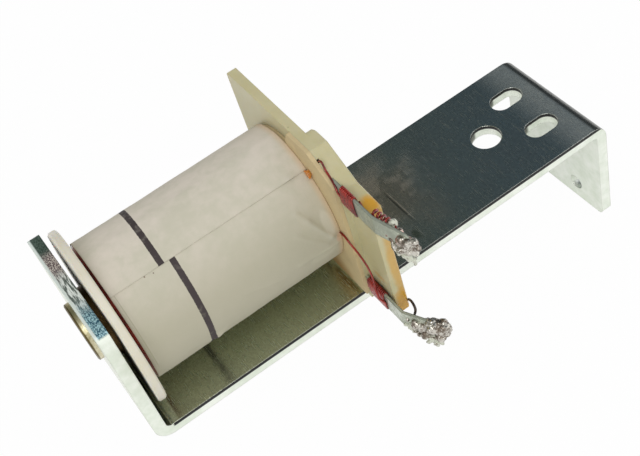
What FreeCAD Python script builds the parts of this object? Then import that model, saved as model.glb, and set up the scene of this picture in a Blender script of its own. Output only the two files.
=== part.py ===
import FreeCAD, Part
import math
import os
import re
import Sketcher
from FreeCAD import Placement, Rotation, Vector

# Solenoid coil on its bent mounting strip. Millimetres, +Z up.
# The origin is the centre of the round locating hole, on the underside of the strip.
# +X runs along the strip, from the tab that holds the coil to the tab that points down.
# The winding lugs stick out towards -Y.

# Driving sizes

SIZES = [
    # Bent strip
    ("strip_width", 28.6, "width of the strip"),
    ("strip_thick", 2.4, "thickness of the strip"),
    ("bend_inner_rad", 1.0, "inner radius of both bends"),
    ("hole_to_stop_face", 87.6, "locating hole to the outer face of the stop tab"),
    ("hole_to_foot_face", 19.0, "locating hole to the outer face of the foot tab"),
    ("stop_tab_rise", 30.9, "stop tab above the top of the strip, on its +Y side"),
    ("stop_shear_fall", 0.9, "fall of the sheared top edge towards -Y"),
    ("foot_tab_drop", 23.9, "foot tab below the underside of the strip"),
    ("stop_corner_rad", 1.5, "top corners of the stop tab"),
    ("foot_corner_rad", 1.2, "bottom corners of the foot tab"),
    ("locating_hole_dia", 6.35, "round locating hole"),
    ("slot_forward", 9.8, "slots ahead of the locating hole"),
    ("slot_pitch", 11.1, "distance between the two slots"),
    ("slot_length", 7.3, "overall length of a slot"),
    ("slot_width", 4.7, "width of a slot"),
    ("foot_hole_drop", 19.7, "foot screw holes below the underside of the strip"),
    ("foot_hole_pitch", 12.7, "distance between the foot screw holes"),
    ("foot_hole_dia", 3.45, "foot screw holes, bored for tapping"),
    # Core plug
    ("axis_rise", 18.1, "coil axis above the top of the strip"),
    ("plug_dia", 14.26, "plug inside the bobbin"),
    ("plug_length", 14.3, "plug beyond the inner face of the stop tab"),
    ("plug_edge", 0.8, "chamfer at the end of the plug"),
    ("plug_seat_dia", 7.0, "mouth of the cone in the end of the plug"),
    ("plug_seat_depth", 1.6, "depth of that cone"),
    ("neck_dia", 9.6, "neck of the plug in the stop tab"),
    ("rivet_dia", 11.6, "riveted head outside the stop tab"),
    ("rivet_proud", 1.0, "height of the riveted head"),
    ("rivet_edge", 0.2, "bevel of the riveted head"),
    # Bobbin
    ("stop_gap", 1.1, "stop tab to the round flange"),
    ("disc_dia", 35.5, "round flange"),
    ("disc_thick", 1.7, "thickness of the round flange"),
    ("rim_bevel", 0.3, "bevel of the flange rims"),
    ("bore_dia", 14.4, "bore of the bobbin"),
    ("barrel_wall", 1.1, "wall of the barrel"),
    ("barrel_length", 41.5, "between the two flanges"),
    ("plate_thick", 1.9, "thickness of the terminal flange"),
    ("block_thick", 1.7, "thickening behind the lugs"),
    ("flange_far", 18.6, "terminal flange, coil axis to its far edge"),
    ("flange_near", 24.4, "terminal flange, coil axis to its lug edge"),
    ("flange_top", 17.2, "terminal flange above the coil axis"),
    ("flange_bottom", 17.75, "terminal flange below the coil axis"),
    ("slope_start", 10.0, "where the top edge begins to fall, from the axis"),
    ("slope_end", 17.7, "where the fall ends, from the axis"),
    ("slope_drop", 4.5, "how far the top edge falls"),
    ("corner_drop", 5.1, "fall at the lug edge"),
    ("bottom_cut", 1.6, "cut of the bottom corner at the lug edge"),
    ("block_start", 4.4, "far side of the thickening, from the axis"),
    ("block_round", 2.4, "rounding of the thickening's far corner"),
    ("flange_corner_rad", 0.8, "corners of the terminal flange"),
    # Guard in front of the lug roots and the start lead
    ("guard_thick", 0.8, "thickness of the guard"),
    ("guard_edge", 16.8, "edge of the guard beside the lugs, from the axis"),
    ("guard_far", 2.2, "far edge of the guard's tongue, from the axis"),
    ("guard_shoulder", 14.8, "height of the tongue's far shoulder"),
    ("guard_crest", 3.5, "where the shoulder meets the top edge, from the axis"),
    ("guard_foot", 16.0, "guard below the coil axis"),
    ("guard_bore_gap", 0.05, "guard to the barrel, all round"),
    # Lugs
    ("lug_thick", 0.5, "sheet of the lugs"),
    ("lug_width", 4.0, "width of a lug"),
    ("upper_level", 12.1, "upper lug above the coil axis"),
    ("lower_level", 13.3, "lower lug below the coil axis"),
    ("lug_root", 11.4, "inner end of the lugs, from the axis"),
    ("lug_play", 0.04, "play of a lug in its recess"),
    ("lug_back_gap", 0.55, "space behind the lugs for the wire"),
    ("lug_tip_rad", 1.0, "corners at the tip of a lug"),
    ("upper_straight", 2.6, "upper lug straight on past the flange, up to its bend"),
    ("upper_reach", 7.6, "upper lug beyond its bend"),
    ("upper_angle", 14.0, "turn of the upper lug in degrees"),
    ("lower_straight", 3.6, "lower lug straight on past the flange, up to its bend"),
    ("lower_reach", 7.2, "lower lug beyond its bend"),
    ("lower_angle", 26.0, "turn of the lower lug in degrees"),
    # Winding and paper
    ("sheet_thick", 0.2, "insulating sheet round the barrel"),
    ("winding_depth", 5.4, "depth of the wound wire on the insulating sheet"),
    ("wire_dia", 0.4, "enamelled wire"),
    ("edge_layers", 2, "layers that step back at each end of the winding"),
    ("paper_thick", 0.22, "paper wrapper"),
    ("paper_gap", 0.02, "winding to paper"),
    ("paper_inset", 0.7, "paper short of the round flange"),
    ("paper_back", 0.15, "paper short of the guard"),
    ("seam_angle", 124.0, "edge of the paper's lap, from +Y towards +Z"),
    ("lap_angle", 38.0, "angle of the paper's lap"),
    # Sleeve
    ("sleeve_wall", 0.7, "wall of the sleeve"),
    ("sleeve_play", 0.05, "sleeve to the bobbin's bore"),
    ("sleeve_gap", 1.4, "end of the plug to the sleeve"),
    ("sleeve_proud", 1.5, "sleeve beyond the thickened flange"),
    # Leads
    ("lead_angle", 126.5, "start lead across the flange, from +Y towards +Z"),
    ("lead_gap", 0.06, "wire to what it lies on"),
    ("lead_bend_rad", 0.8, "bends in the wires"),
    ("groove_width", 0.7, "groove for the start lead"),
    ("turn_pitch", 0.85, "turns of wire on the lug roots"),
    ("stub_dia", 0.5, "bare end of the old hookup wire"),
    ("stub_hold", 2.4, "stub along the lug past its bend, into the solder"),
    # Varnish
    ("drop_rad", 0.8, "drop of varnish"),
    ("drop_angle", 127.6, "place of the drop, from +Y towards +Z"),
]

doc = FreeCAD.newDocument("SolenoidCoil")
sheet = doc.addObject("Spreadsheet::Sheet", "Sizes")


def fill_sheet():
    for row, (alias, value, note) in enumerate(SIZES, start=1):
        sheet.set(f"A{row}", alias.replace("_", " "))
        sheet.set(f"B{row}", str(value))
        sheet.set(f"C{row}", note)
        sheet.setAlias(f"B{row}", alias)
    doc.recompute()


fill_sheet()
ALIASES = {alias for alias, value, note in SIZES}


def val(text):
    """A size in millimetres from an expression over the sheet's aliases."""
    result = sheet.evalExpression(text)
    return float(getattr(result, "Value", result))


def bound(text):
    """The same expression, as another object of the document writes it."""
    def prefix(match):
        word = match.group(0)
        return "Sizes." + word if word in ALIASES else word
    return re.sub(r"[A-Za-z_]\w*", prefix, text)


# Places that several pieces share, along X

STOP_FACE = "(-hole_to_stop_face)"
STOP_INNER = f"({STOP_FACE} + strip_thick)"
PLUG_END = f"({STOP_INNER} + plug_length)"
DISC_FACE = f"({STOP_INNER} + stop_gap)"
COIL_START = f"({DISC_FACE} + disc_thick)"
FLANGE_FACE = f"({COIL_START} + barrel_length)"
GUARD_FACE = f"({FLANGE_FACE} - guard_thick)"
PLATE_BACK = f"({FLANGE_FACE} + plate_thick)"
BLOCK_BACK = f"({PLATE_BACK} + block_thick)"

# Heights and radii

AXIS_Z = "(strip_thick + axis_rise)"
BORE_RAD = "(bore_dia / 2)"
BARREL_RAD = f"({BORE_RAD} + barrel_wall)"
SHEET_RAD = f"({BARREL_RAD} + sheet_thick)"
WINDING_RAD = f"({SHEET_RAD} + winding_depth)"
PAPER_RAD = f"({WINDING_RAD} + paper_gap)"
LEAD_RAD = f"({SHEET_RAD} + wire_dia)"
KNEE_Z = "(flange_top - slope_drop)"
CORNER_Z = "(flange_top - corner_drop)"


# Sketch and feature helpers

def origin_plane(body, role):
    return next(item for item in body.Origin.OriginFeatures if item.Role == role)


def new_body(label):
    body = doc.addObject("PartDesign::Body", label)
    body.Label = label
    return body


def new_sketch(body, role, name, along="0", up="0"):
    """A sketch on an origin plane, moved along its normal and up its own Y."""
    sketch = body.newObject("Sketcher::SketchObject", name)
    sketch.AttachmentSupport = [(origin_plane(body, role), "")]
    sketch.MapMode = "FlatFace"
    sketch.AttachmentOffset = Placement(Vector(0, val(up), val(along)), Rotation())
    if along != "0":
        sketch.setExpression("AttachmentOffset.Base.z", bound(along))
    if up != "0":
        sketch.setExpression("AttachmentOffset.Base.y", bound(up))
    return sketch


def hold(sketch, geometry, point, kind, text):
    """Hold one point of the sketch at one bound distance from its origin."""
    value = val(text)
    if abs(value) < 1e-9:
        axis = -2 if kind == "DistanceX" else -1
        sketch.addConstraint(Sketcher.Constraint("PointOnObject", geometry, point, axis))
        return
    number = sketch.addConstraint(Sketcher.Constraint(kind, -1, 1, geometry, point, value))
    sketch.setExpression(f"Constraints[{number}]", bound(text))


def pin(sketch, geometry, point, x, y):
    """Hold one point of the sketch both ways."""
    hold(sketch, geometry, point, "DistanceX", x)
    hold(sketch, geometry, point, "DistanceY", y)


def polygon(sketch, corners):
    """A closed outline of straight lines through corners given as expressions."""
    places = [Vector(val(x), val(y), 0) for x, y in corners]
    count = len(places)
    first = sketch.GeometryCount
    for step in range(count):
        line = Part.LineSegment(places[step], places[(step + 1) % count])
        sketch.addGeometry(line, False)
    for step in range(count):
        after = first + (step + 1) % count
        sketch.addConstraint(Sketcher.Constraint("Coincident", first + step, 2, after, 1))
    for step, (x, y) in enumerate(corners):
        pin(sketch, first + step, 1, x, y)


def circle(sketch, x, y, radius):
    centre = Vector(val(x), val(y), 0)
    number = sketch.addGeometry(Part.Circle(centre, Vector(0, 0, 1), val(radius)), False)
    held = sketch.addConstraint(Sketcher.Constraint("Radius", number, val(radius)))
    sketch.setExpression(f"Constraints[{held}]", bound(radius))
    pin(sketch, number, 3, x, y)


def slot(sketch, x, y, length, width):
    """A round-ended slot that runs along the sketch's X."""
    radius = val(width) / 2
    half = (val(length) - val(width)) / 2
    normal = Vector(0, 0, 1)
    centres = [f"{x} - ({length} - {width}) / 2", f"{x} + ({length} - {width}) / 2"]
    middle_y = val(y)
    left = Part.Circle(Vector(val(x) - half, middle_y, 0), normal, radius)
    right = Part.Circle(Vector(val(x) + half, middle_y, 0), normal, radius)
    quarter = math.pi / 2
    left_arc = sketch.addGeometry(Part.ArcOfCircle(left, quarter, 3 * quarter), False)
    right_arc = sketch.addGeometry(Part.ArcOfCircle(right, -quarter, quarter), False)
    low_left = Vector(val(x) - half, middle_y - radius, 0)
    low_right = Vector(val(x) + half, middle_y - radius, 0)
    high_left = Vector(val(x) - half, middle_y + radius, 0)
    high_right = Vector(val(x) + half, middle_y + radius, 0)
    low = sketch.addGeometry(Part.LineSegment(low_left, low_right), False)
    high = sketch.addGeometry(Part.LineSegment(high_right, high_left), False)
    joints = [(left_arc, 2, low, 1), (low, 2, right_arc, 1),
              (right_arc, 2, high, 1), (high, 2, left_arc, 1)]
    for joint in joints:
        sketch.addConstraint(Sketcher.Constraint("Tangent", *joint))
    sketch.addConstraint(Sketcher.Constraint("Equal", left_arc, right_arc))
    held = sketch.addConstraint(Sketcher.Constraint("Radius", left_arc, radius))
    sketch.setExpression(f"Constraints[{held}]", bound(f"{width} / 2"))
    pin(sketch, left_arc, 3, centres[0], y)
    pin(sketch, right_arc, 3, centres[1], y)


def pad(body, sketch, length, name, midplane=False):
    feature = body.newObject("PartDesign::Pad", name)
    feature.Profile = sketch
    feature.Length = val(length)
    feature.setExpression("Length", bound(length))
    feature.Midplane = midplane
    doc.recompute()
    return feature


def cut(body, sketch, name, depth=None, reverse=False):
    """A pocket, through everything both ways unless a depth is given."""
    before = body.Shape.Volume
    feature = body.newObject("PartDesign::Pocket", name)
    feature.Profile = sketch
    if depth is None:
        feature.Type = "ThroughAll"
        feature.Midplane = True
    else:
        feature.Length = val(depth)
        feature.setExpression("Length", bound(depth))
        feature.Reversed = reverse
    doc.recompute()
    if body.Shape.Volume > before - 1e-6:
        raise RuntimeError(f"{name} removes nothing from {body.Label}")
    return feature


def revolve(body, sketch, name):
    """A full turn about the sketch's own X axis."""
    feature = body.newObject("PartDesign::Revolution", name)
    feature.Profile = sketch
    feature.ReferenceAxis = (sketch, ["H_Axis"])
    feature.Angle = 360
    doc.recompute()
    return feature


def edges_where(body, test):
    """Names of the edges of the body's tip whose middle point passes the test."""
    names = []
    for number, edge in enumerate(body.Shape.Edges, start=1):
        middle = edge.valueAt((edge.FirstParameter + edge.LastParameter) / 2)
        if test(edge, middle):
            names.append(f"Edge{number}")
    return names


def break_edges(body, kind, role, size, name, test):
    """A fillet or a chamfer on the edges that pass the test."""
    names = edges_where(body, test)
    if not names:
        raise RuntimeError(f"{name} finds no edge on {body.Label}")
    base = body.Tip
    feature = body.newObject(f"PartDesign::{kind}", name)
    feature.Base = (base, names)
    setattr(feature, role, val(size))
    feature.setExpression(role, bound(size))
    doc.recompute()
    return feature


def fillet(body, radius, name, test):
    return break_edges(body, "Fillet", "Radius", radius, name, test)


def chamfer(body, size, name, test):
    return break_edges(body, "Chamfer", "Size", size, name, test)


def near(first, second):
    return abs(first - second) < 1e-4


def edge_runs(edge, axis):
    """True for a straight edge along the named axis."""
    if not isinstance(edge.Curve, Part.Line):
        return False
    return near(abs(getattr(edge.Curve.Direction, axis)), 1)


def mirror_y(body, features, name):
    """Repeat features on the other side of the strip's middle plane."""
    feature = body.newObject("PartDesign::Mirrored", name)
    feature.Originals = features
    feature.MirrorPlane = (origin_plane(body, "XZ_Plane"), [""])
    body.Tip = feature
    doc.recompute()
    return feature


# Bent strip: one bent piece with the stop tab up and the foot tab down

def make_bracket():
    body = new_body("bracket")
    side = new_sketch(body, "XZ_Plane", "StripSide")
    foot_inner = "(hole_to_foot_face - strip_thick)"
    polygon(side, [
        (STOP_FACE, "strip_thick + stop_tab_rise"),
        (STOP_FACE, "0"),
        (foot_inner, "0"),
        (foot_inner, "-foot_tab_drop"),
        ("hole_to_foot_face", "-foot_tab_drop"),
        ("hole_to_foot_face", "strip_thick"),
        (STOP_INNER, "strip_thick"),
        (STOP_INNER, "strip_thick + stop_tab_rise"),
    ])
    pad(body, side, "strip_width", "StripPad", midplane=True)

    inner_bends = [(val(STOP_INNER), val("strip_thick")), (val(foot_inner), 0)]
    outer_bends = [(val(STOP_FACE), 0), (val("hole_to_foot_face"), val("strip_thick"))]

    def at_bend(places):
        def test(edge, middle):
            if not edge_runs(edge, "y"):
                return False
            return any(near(middle.x, x) and near(middle.z, z) for x, z in places)
        return test

    fillet(body, "bend_inner_rad", "InnerBends", at_bend(inner_bends))
    fillet(body, "bend_inner_rad + strip_thick", "OuterBends", at_bend(outer_bends))
    shear = new_sketch(body, "YZ_Plane", "ShearSketch", along=STOP_INNER)
    top = "strip_thick + stop_tab_rise"
    polygon(shear, [
        ("-strip_width / 2", f"{top} - stop_shear_fall"),
        ("strip_width / 2", top),
        ("-strip_width / 2", f"{top} + stop_shear_fall"),
    ])
    cut(body, shear, "ShearedEdge", "strip_thick")
    below_top = val(f"{top} - 1.5 * stop_shear_fall")
    fillet(body, "stop_corner_rad", "StopCorners",
           lambda edge, middle: edge_runs(edge, "x") and middle.z > below_top)
    low = val("-foot_tab_drop")
    fillet(body, "foot_corner_rad", "FootCorners",
           lambda edge, middle: edge_runs(edge, "x") and near(middle.z, low))

    locating = new_sketch(body, "XY_Plane", "LocatingHoleSketch")
    circle(locating, "0", "0", "locating_hole_dia / 2")
    cut(body, locating, "LocatingHole", "strip_thick", reverse=True)

    slots = new_sketch(body, "XY_Plane", "SlotSketch")
    slot(slots, "slot_forward", "slot_pitch / 2", "slot_length", "slot_width")
    one_slot = cut(body, slots, "Slot", "strip_thick", reverse=True)
    mirror_y(body, [one_slot], "SlotPair")

    foot = new_sketch(body, "YZ_Plane", "FootHoleSketch", along="hole_to_foot_face")
    circle(foot, "foot_hole_pitch / 2", "-foot_hole_drop", "foot_hole_dia / 2")
    one_hole = cut(body, foot, "FootHole", "strip_thick")
    mirror_y(body, [one_hole], "FootHolePair")

    neck = new_sketch(body, "YZ_Plane", "NeckHoleSketch", along=STOP_INNER)
    circle(neck, "0", AXIS_Z, "neck_dia / 2")
    cut(body, neck, "NeckHole", "strip_thick")
    return body


# Core plug: turned steel, its neck riveted over outside the stop tab

def make_core_plug():
    body = new_body("core_plug")
    profile = new_sketch(body, "XZ_Plane", "PlugProfile", up=AXIS_Z)
    rivet_top = f"({STOP_FACE} - rivet_proud)"
    polygon(profile, [
        (rivet_top, "0"),
        (rivet_top, "rivet_dia / 2 - 2 * rivet_edge"),
        (f"{rivet_top} + rivet_edge / 3", "rivet_dia / 2 - rivet_edge"),
        (f"{rivet_top} + rivet_edge", "rivet_dia / 2"),
        (STOP_FACE, "rivet_dia / 2"),
        (STOP_FACE, "neck_dia / 2"),
        (STOP_INNER, "neck_dia / 2"),
        (STOP_INNER, "plug_dia / 2"),
        (f"{PLUG_END} - plug_edge", "plug_dia / 2"),
        (PLUG_END, "plug_dia / 2 - plug_edge"),
        (PLUG_END, "plug_seat_dia / 2"),
        (f"{PLUG_END} - plug_seat_depth", "0"),
    ])
    revolve(body, profile, "PlugTurn")
    return body


# Bobbin: round flange, barrel and the thick terminal flange, moulded in one

def flange_outline(far):
    """Corners of the terminal flange, from its far bottom corner, seen along X."""
    return [
        (far, "-flange_bottom"),
        (far, "flange_top"),
        ("-slope_start", "flange_top"),
        ("-slope_end", KNEE_Z),
        ("-flange_near", CORNER_Z),
        ("-flange_near", "bottom_cut - flange_bottom"),
        ("bottom_cut - flange_near", "-flange_bottom"),
    ]


def lead_groove(sketch):
    """A groove from the barrel out past the top edge, along the start lead."""
    inner = f"({BARREL_RAD} + lead_gap)"
    outer = "(flange_top + slope_start)"
    corners = []
    for reach, sign, flipped in ((inner, "-", "+"), (inner, "+", "-"),
                                 (outer, "+", "-"), (outer, "-", "+")):
        y = f"{reach} * cos(lead_angle) {sign} groove_width / 2 * sin(lead_angle)"
        z = f"{reach} * sin(lead_angle) {flipped} groove_width / 2 * cos(lead_angle)"
        corners.append((y, z))
    polygon(sketch, corners)


def make_bobbin():
    body = new_body("bobbin")
    profile = new_sketch(body, "XZ_Plane", "BobbinProfile", up=AXIS_Z)
    polygon(profile, [
        (DISC_FACE, BORE_RAD),
        (DISC_FACE, "disc_dia / 2 - rim_bevel"),
        (f"{DISC_FACE} + rim_bevel", "disc_dia / 2"),
        (f"{COIL_START} - rim_bevel", "disc_dia / 2"),
        (COIL_START, "disc_dia / 2 - rim_bevel"),
        (COIL_START, BARREL_RAD),
        (PLATE_BACK, BARREL_RAD),
        (PLATE_BACK, BORE_RAD),
    ])
    revolve(body, profile, "BobbinTurn")
    plate = new_sketch(body, "YZ_Plane", "PlateSketch", along=FLANGE_FACE, up=AXIS_Z)
    polygon(plate, flange_outline("flange_far"))
    pad(body, plate, "plate_thick", "Plate")
    block = new_sketch(body, "YZ_Plane", "BlockSketch", along=PLATE_BACK, up=AXIS_Z)
    polygon(block, flange_outline("-block_start"))
    pad(body, block, "block_thick", "Block")

    bore = new_sketch(body, "YZ_Plane", "BoreSketch", along=BLOCK_BACK, up=AXIS_Z)
    circle(bore, "0", "0", BORE_RAD)
    cut(body, bore, "Bore", "block_thick + plate_thick")

    recess = new_sketch(body, "YZ_Plane", "RecessSketch", along=FLANGE_FACE, up=AXIS_Z)
    polygon(recess, [
        ("-guard_edge", "-flange_bottom - 1"),
        ("-guard_edge", "flange_top + 1"),
        ("-flange_near - 1", "flange_top + 1"),
        ("-flange_near - 1", "-flange_bottom - 1"),
    ])
    cut(body, recess, "Recess", "lug_thick + lug_play + lug_back_gap", reverse=True)

    seats = new_sketch(body, "YZ_Plane", "LugSeatSketch", along=FLANGE_FACE, up=AXIS_Z)
    for level in ("upper_level", "-lower_level"):
        half = "(lug_width / 2 + lug_play)"
        polygon(seats, [
            ("lug_play - lug_root", f"{level} - {half}"),
            ("lug_play - lug_root", f"{level} + {half}"),
            ("-guard_edge", f"{level} + {half}"),
            ("-guard_edge", f"{level} - {half}"),
        ])
    cut(body, seats, "LugSeats", "lug_thick + lug_play", reverse=True)

    groove = new_sketch(body, "YZ_Plane", "GrooveSketch", along=FLANGE_FACE, up=AXIS_Z)
    lead_groove(groove)
    cut(body, groove, "LeadGroove", "wire_dia + 2 * lead_gap", reverse=True)

    block_far = val("-block_start")
    block_top = val(f"{AXIS_Z} + flange_top")
    back = val(BLOCK_BACK)
    fillet(body, "block_round", "BlockRounding",
           lambda edge, middle: edge_runs(edge, "x") and near(middle.y, block_far)
           and near(middle.z, block_top))
    far_edge = val("flange_far")
    fillet(body, "flange_corner_rad", "FarCorners",
           lambda edge, middle: edge_runs(edge, "x") and near(middle.y, far_edge))
    chamfer(body, "rim_bevel", "BlockEdge",
            lambda edge, middle: near(middle.x, back) and isinstance(edge.Curve, Part.Line)
            and not near(middle.y, block_far))
    return body


# Guard: stiff sheet on the barrel, over the start lead and the lug roots

def make_guard():
    body = new_body("lead_guard")
    tongue = new_sketch(body, "YZ_Plane", "TongueSketch", along=GUARD_FACE, up=AXIS_Z)
    slope = "(slope_drop / (slope_end - slope_start))"
    polygon(tongue, [
        ("-guard_far", "0"),
        ("-guard_far", "guard_shoulder"),
        ("-guard_crest", "flange_top"),
        ("-slope_start", "flange_top"),
        ("-guard_edge", f"flange_top - (guard_edge - slope_start) * {slope}"),
        ("-guard_edge", "-guard_foot"),
        ("-guard_crest", "-guard_foot"),
        ("-guard_far", f"-{WINDING_RAD} / 2"),
    ])
    pad(body, tongue, "guard_thick", "Tongue")
    washer = new_sketch(body, "YZ_Plane", "WasherSketch", along=GUARD_FACE, up=AXIS_Z)
    circle(washer, "0", "0", f"{WINDING_RAD} - wire_dia")
    pad(body, washer, "guard_thick", "Washer")
    hole = new_sketch(body, "YZ_Plane", "GuardHoleSketch", along=FLANGE_FACE, up=AXIS_Z)
    circle(hole, "0", "0", f"{BARREL_RAD} + guard_bore_gap")
    cut(body, hole, "GuardHole", "guard_thick")
    notch = new_sketch(body, "YZ_Plane", "NotchSketch", along=FLANGE_FACE, up=AXIS_Z)
    circle(notch, f"{LEAD_RAD} * cos(lead_angle)", f"{LEAD_RAD} * sin(lead_angle)",
           "groove_width / 2")
    cut(body, notch, "LeadNotch", "guard_thick")
    return body


# Turned tubes on the coil axis

def tube(label, start, end, inner, outer):
    body = new_body(label)
    profile = new_sketch(body, "XZ_Plane", label.title().replace("_", "") + "Profile", up=AXIS_Z)
    polygon(profile, [(start, inner), (start, outer), (end, outer), (end, inner)])
    revolve(body, profile, label.title().replace("_", "") + "Turn")
    return body


def make_winding():
    """All the turns as one ring, whose last layers step back at both ends."""
    body = new_body("winding")
    profile = new_sketch(body, "XZ_Plane", "WindingProfile", up=AXIS_Z)
    layers = int(round(val("edge_layers")))
    corners = [(COIL_START, SHEET_RAD)]
    for layer in range(layers, 0, -1):
        set_back = f"{COIL_START} + {layers - layer} * wire_dia / 2"
        corners.append((set_back, f"{WINDING_RAD} - {layer} * wire_dia"))
        corners.append((f"{set_back} + wire_dia / 2", f"{WINDING_RAD} - {layer} * wire_dia"))
    last_front = f"{COIL_START} + {layers} * wire_dia / 2"
    corners.append((last_front, WINDING_RAD))
    corners.append((f"{GUARD_FACE} - wire_dia / 2", WINDING_RAD))
    corners.append((f"{GUARD_FACE} - wire_dia / 2", f"{WINDING_RAD} - wire_dia"))
    corners.append((GUARD_FACE, f"{WINDING_RAD} - wire_dia"))
    corners.append((GUARD_FACE, SHEET_RAD))
    polygon(profile, corners)
    revolve(body, profile, "WindingTurn")
    return body


def make_wrapper():
    """Paper once round the winding, with its end lapped over its start."""
    body = new_body("wrapper")
    start = f"({COIL_START} + paper_inset)"
    length = f"{GUARD_FACE} - paper_back - {start}"
    ring = new_sketch(body, "YZ_Plane", "PaperSketch", along=start, up=AXIS_Z)
    circle(ring, "0", "0", PAPER_RAD)
    circle(ring, "0", "0", f"{PAPER_RAD} + paper_thick")
    pad(body, ring, length, "Paper")
    lap = new_sketch(body, "YZ_Plane", "LapSketch", along=start, up=AXIS_Z)
    high = math.radians(val("seam_angle"))
    low = math.radians(val("seam_angle - lap_angle"))
    arcs = []
    for layers in (1, 2):
        radius = f"({PAPER_RAD} + {layers} * paper_thick)"
        ring = Part.Circle(Vector(0, 0, 0), Vector(0, 0, 1), val(radius))
        arc = lap.addGeometry(Part.ArcOfCircle(ring, low, high), False)
        lap.addConstraint(Sketcher.Constraint("Coincident", arc, 3, -1, 1))
        pin(lap, arc, 2, f"{radius} * cos(seam_angle)", f"{radius} * sin(seam_angle)")
        hold(lap, arc, 1, "DistanceX", f"{radius} * cos(seam_angle - lap_angle)")
        arcs.append((arc, val(radius)))
    for angle, point in ((low, 1), (high, 2)):
        away = Vector(math.cos(angle), math.sin(angle), 0)
        (lower_arc, inner), (upper_arc, outer) = arcs
        edge = lap.addGeometry(Part.LineSegment(away * inner, away * outer), False)
        lap.addConstraint(Sketcher.Constraint("Coincident", edge, 1, lower_arc, point))
        lap.addConstraint(Sketcher.Constraint("Coincident", edge, 2, upper_arc, point))
    pad(body, lap, length, "Lap")
    return body


# Lugs: flat strips whose outer ends are bent away from the winding

def make_lug(label, level, straight, reach, angle):
    body = new_body(label)
    bend = f"(flange_near + {straight})"
    plan = new_sketch(body, "XY_Plane", label.title().replace("_", "") + "Plan",
                      along=f"{AXIS_Z} + {level}")
    front = f"({FLANGE_FACE} + lug_play / 2)"
    back = f"({front} + lug_thick)"
    turn = f"lug_thick * tan({angle} / 2)"
    polygon(plan, [
        (front, "-lug_root"),
        (front, f"-{bend}"),
        (f"{front} + {reach} * sin({angle})", f"-{bend} - {reach} * cos({angle})"),
        (f"{front} + {reach} * sin({angle}) + lug_thick * cos({angle})",
         f"-{bend} - {reach} * cos({angle}) + lug_thick * sin({angle})"),
        (back, f"{turn} - {bend}"),
        (back, "-lug_root"),
    ])
    pad(body, plan, "lug_width", label.title().replace("_", "") + "Pad", midplane=True)
    tip = val(f"-{bend} - {reach} * cos({angle})")
    fillet(body, "lug_tip_rad", label.title().replace("_", "") + "Tip",
           lambda edge, middle: isinstance(edge.Curve, Part.Line)
           and near(edge.Curve.Direction.z, 0) and near(edge.Length, val("lug_thick"))
           and middle.y < tip + val("lug_thick"))
    return body


def lug_axes(level, straight, angle):
    """Middle of a lug at its bend, and the directions along and across its outer end."""
    turn = math.radians(val(angle))
    along = Vector(math.sin(turn), -math.cos(turn), 0)
    across = Vector(math.cos(turn), math.sin(turn), 0)
    middle = val(f"{FLANGE_FACE} + lug_play / 2 + lug_thick / 2")
    corner = Vector(middle, -val(f"flange_near + {straight}"), level)
    return corner, along, across


# Wires: flat-sided, each bend made of short straight steps

WIRE_SIDES = 8
BEND_STEPS = 2
BEND_SHARE = 0.25
STRAIGHT = 0.01


def bent_path(points, radius):
    """Corners of a path through the points, each inner point rounded in steps."""
    path = [points[0]]
    for before, here, after in zip(points, points[1:], points[2:]):
        back = (before - here).normalize()
        ahead = (after - here).normalize()
        turn = math.pi - back.getAngle(ahead)
        if turn < STRAIGHT:
            continue
        shorter = min((before - here).Length, (after - here).Length)
        bend = min(radius, BEND_SHARE * shorter / math.tan(turn / 2))
        leg = bend * math.tan(turn / 2)
        inward = (back + ahead).normalize()
        centre = here + inward * math.hypot(bend, leg)
        first = here + back * leg - centre
        axis = back.cross(ahead)
        for step in range(BEND_STEPS + 1):
            swing = Rotation(axis, -math.degrees(turn) * step / BEND_STEPS)
            path.append(centre + swing.multVec(first))
    path.append(points[-1])
    return path


def wire_solid(points, radius, diameter):
    path = bent_path(points, radius)
    ring = Part.makeCircle(diameter / 2, path[0], path[1] - path[0])
    section = Part.makePolygon(ring.discretize(WIRE_SIDES + 1))
    sweep = Part.BRepOffsetAPI.MakePipeShell(Part.makePolygon(path))
    sweep.setTransitionMode(1)
    sweep.add(section)
    sweep.build()
    sweep.makeSolid()
    return sweep.shape()


def add_shape(label, shape):
    item = doc.addObject("Part::Feature", label)
    item.Label = label
    item.Shape = shape
    item.Placement = Placement()
    return item


def turns_round_lug(first, count, pitch, level):
    """Corners of wire turns round a lug, walking outwards from the first y."""
    offset = val("lug_thick / 2 + wire_dia / 2 + lead_gap")
    half = val("lug_width / 2 + wire_dia / 2 + lead_gap")
    middle = val(f"{FLANGE_FACE} + lug_play / 2 + lug_thick / 2")
    corners = []
    signs = [(-1, -1), (1, -1), (1, 1), (-1, 1)]
    for number in range(4 * count):
        side, height = signs[number % 4]
        y = first - pitch * number / 4
        corners.append(Vector(middle + side * offset, y, level + height * half))
    return corners


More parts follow.
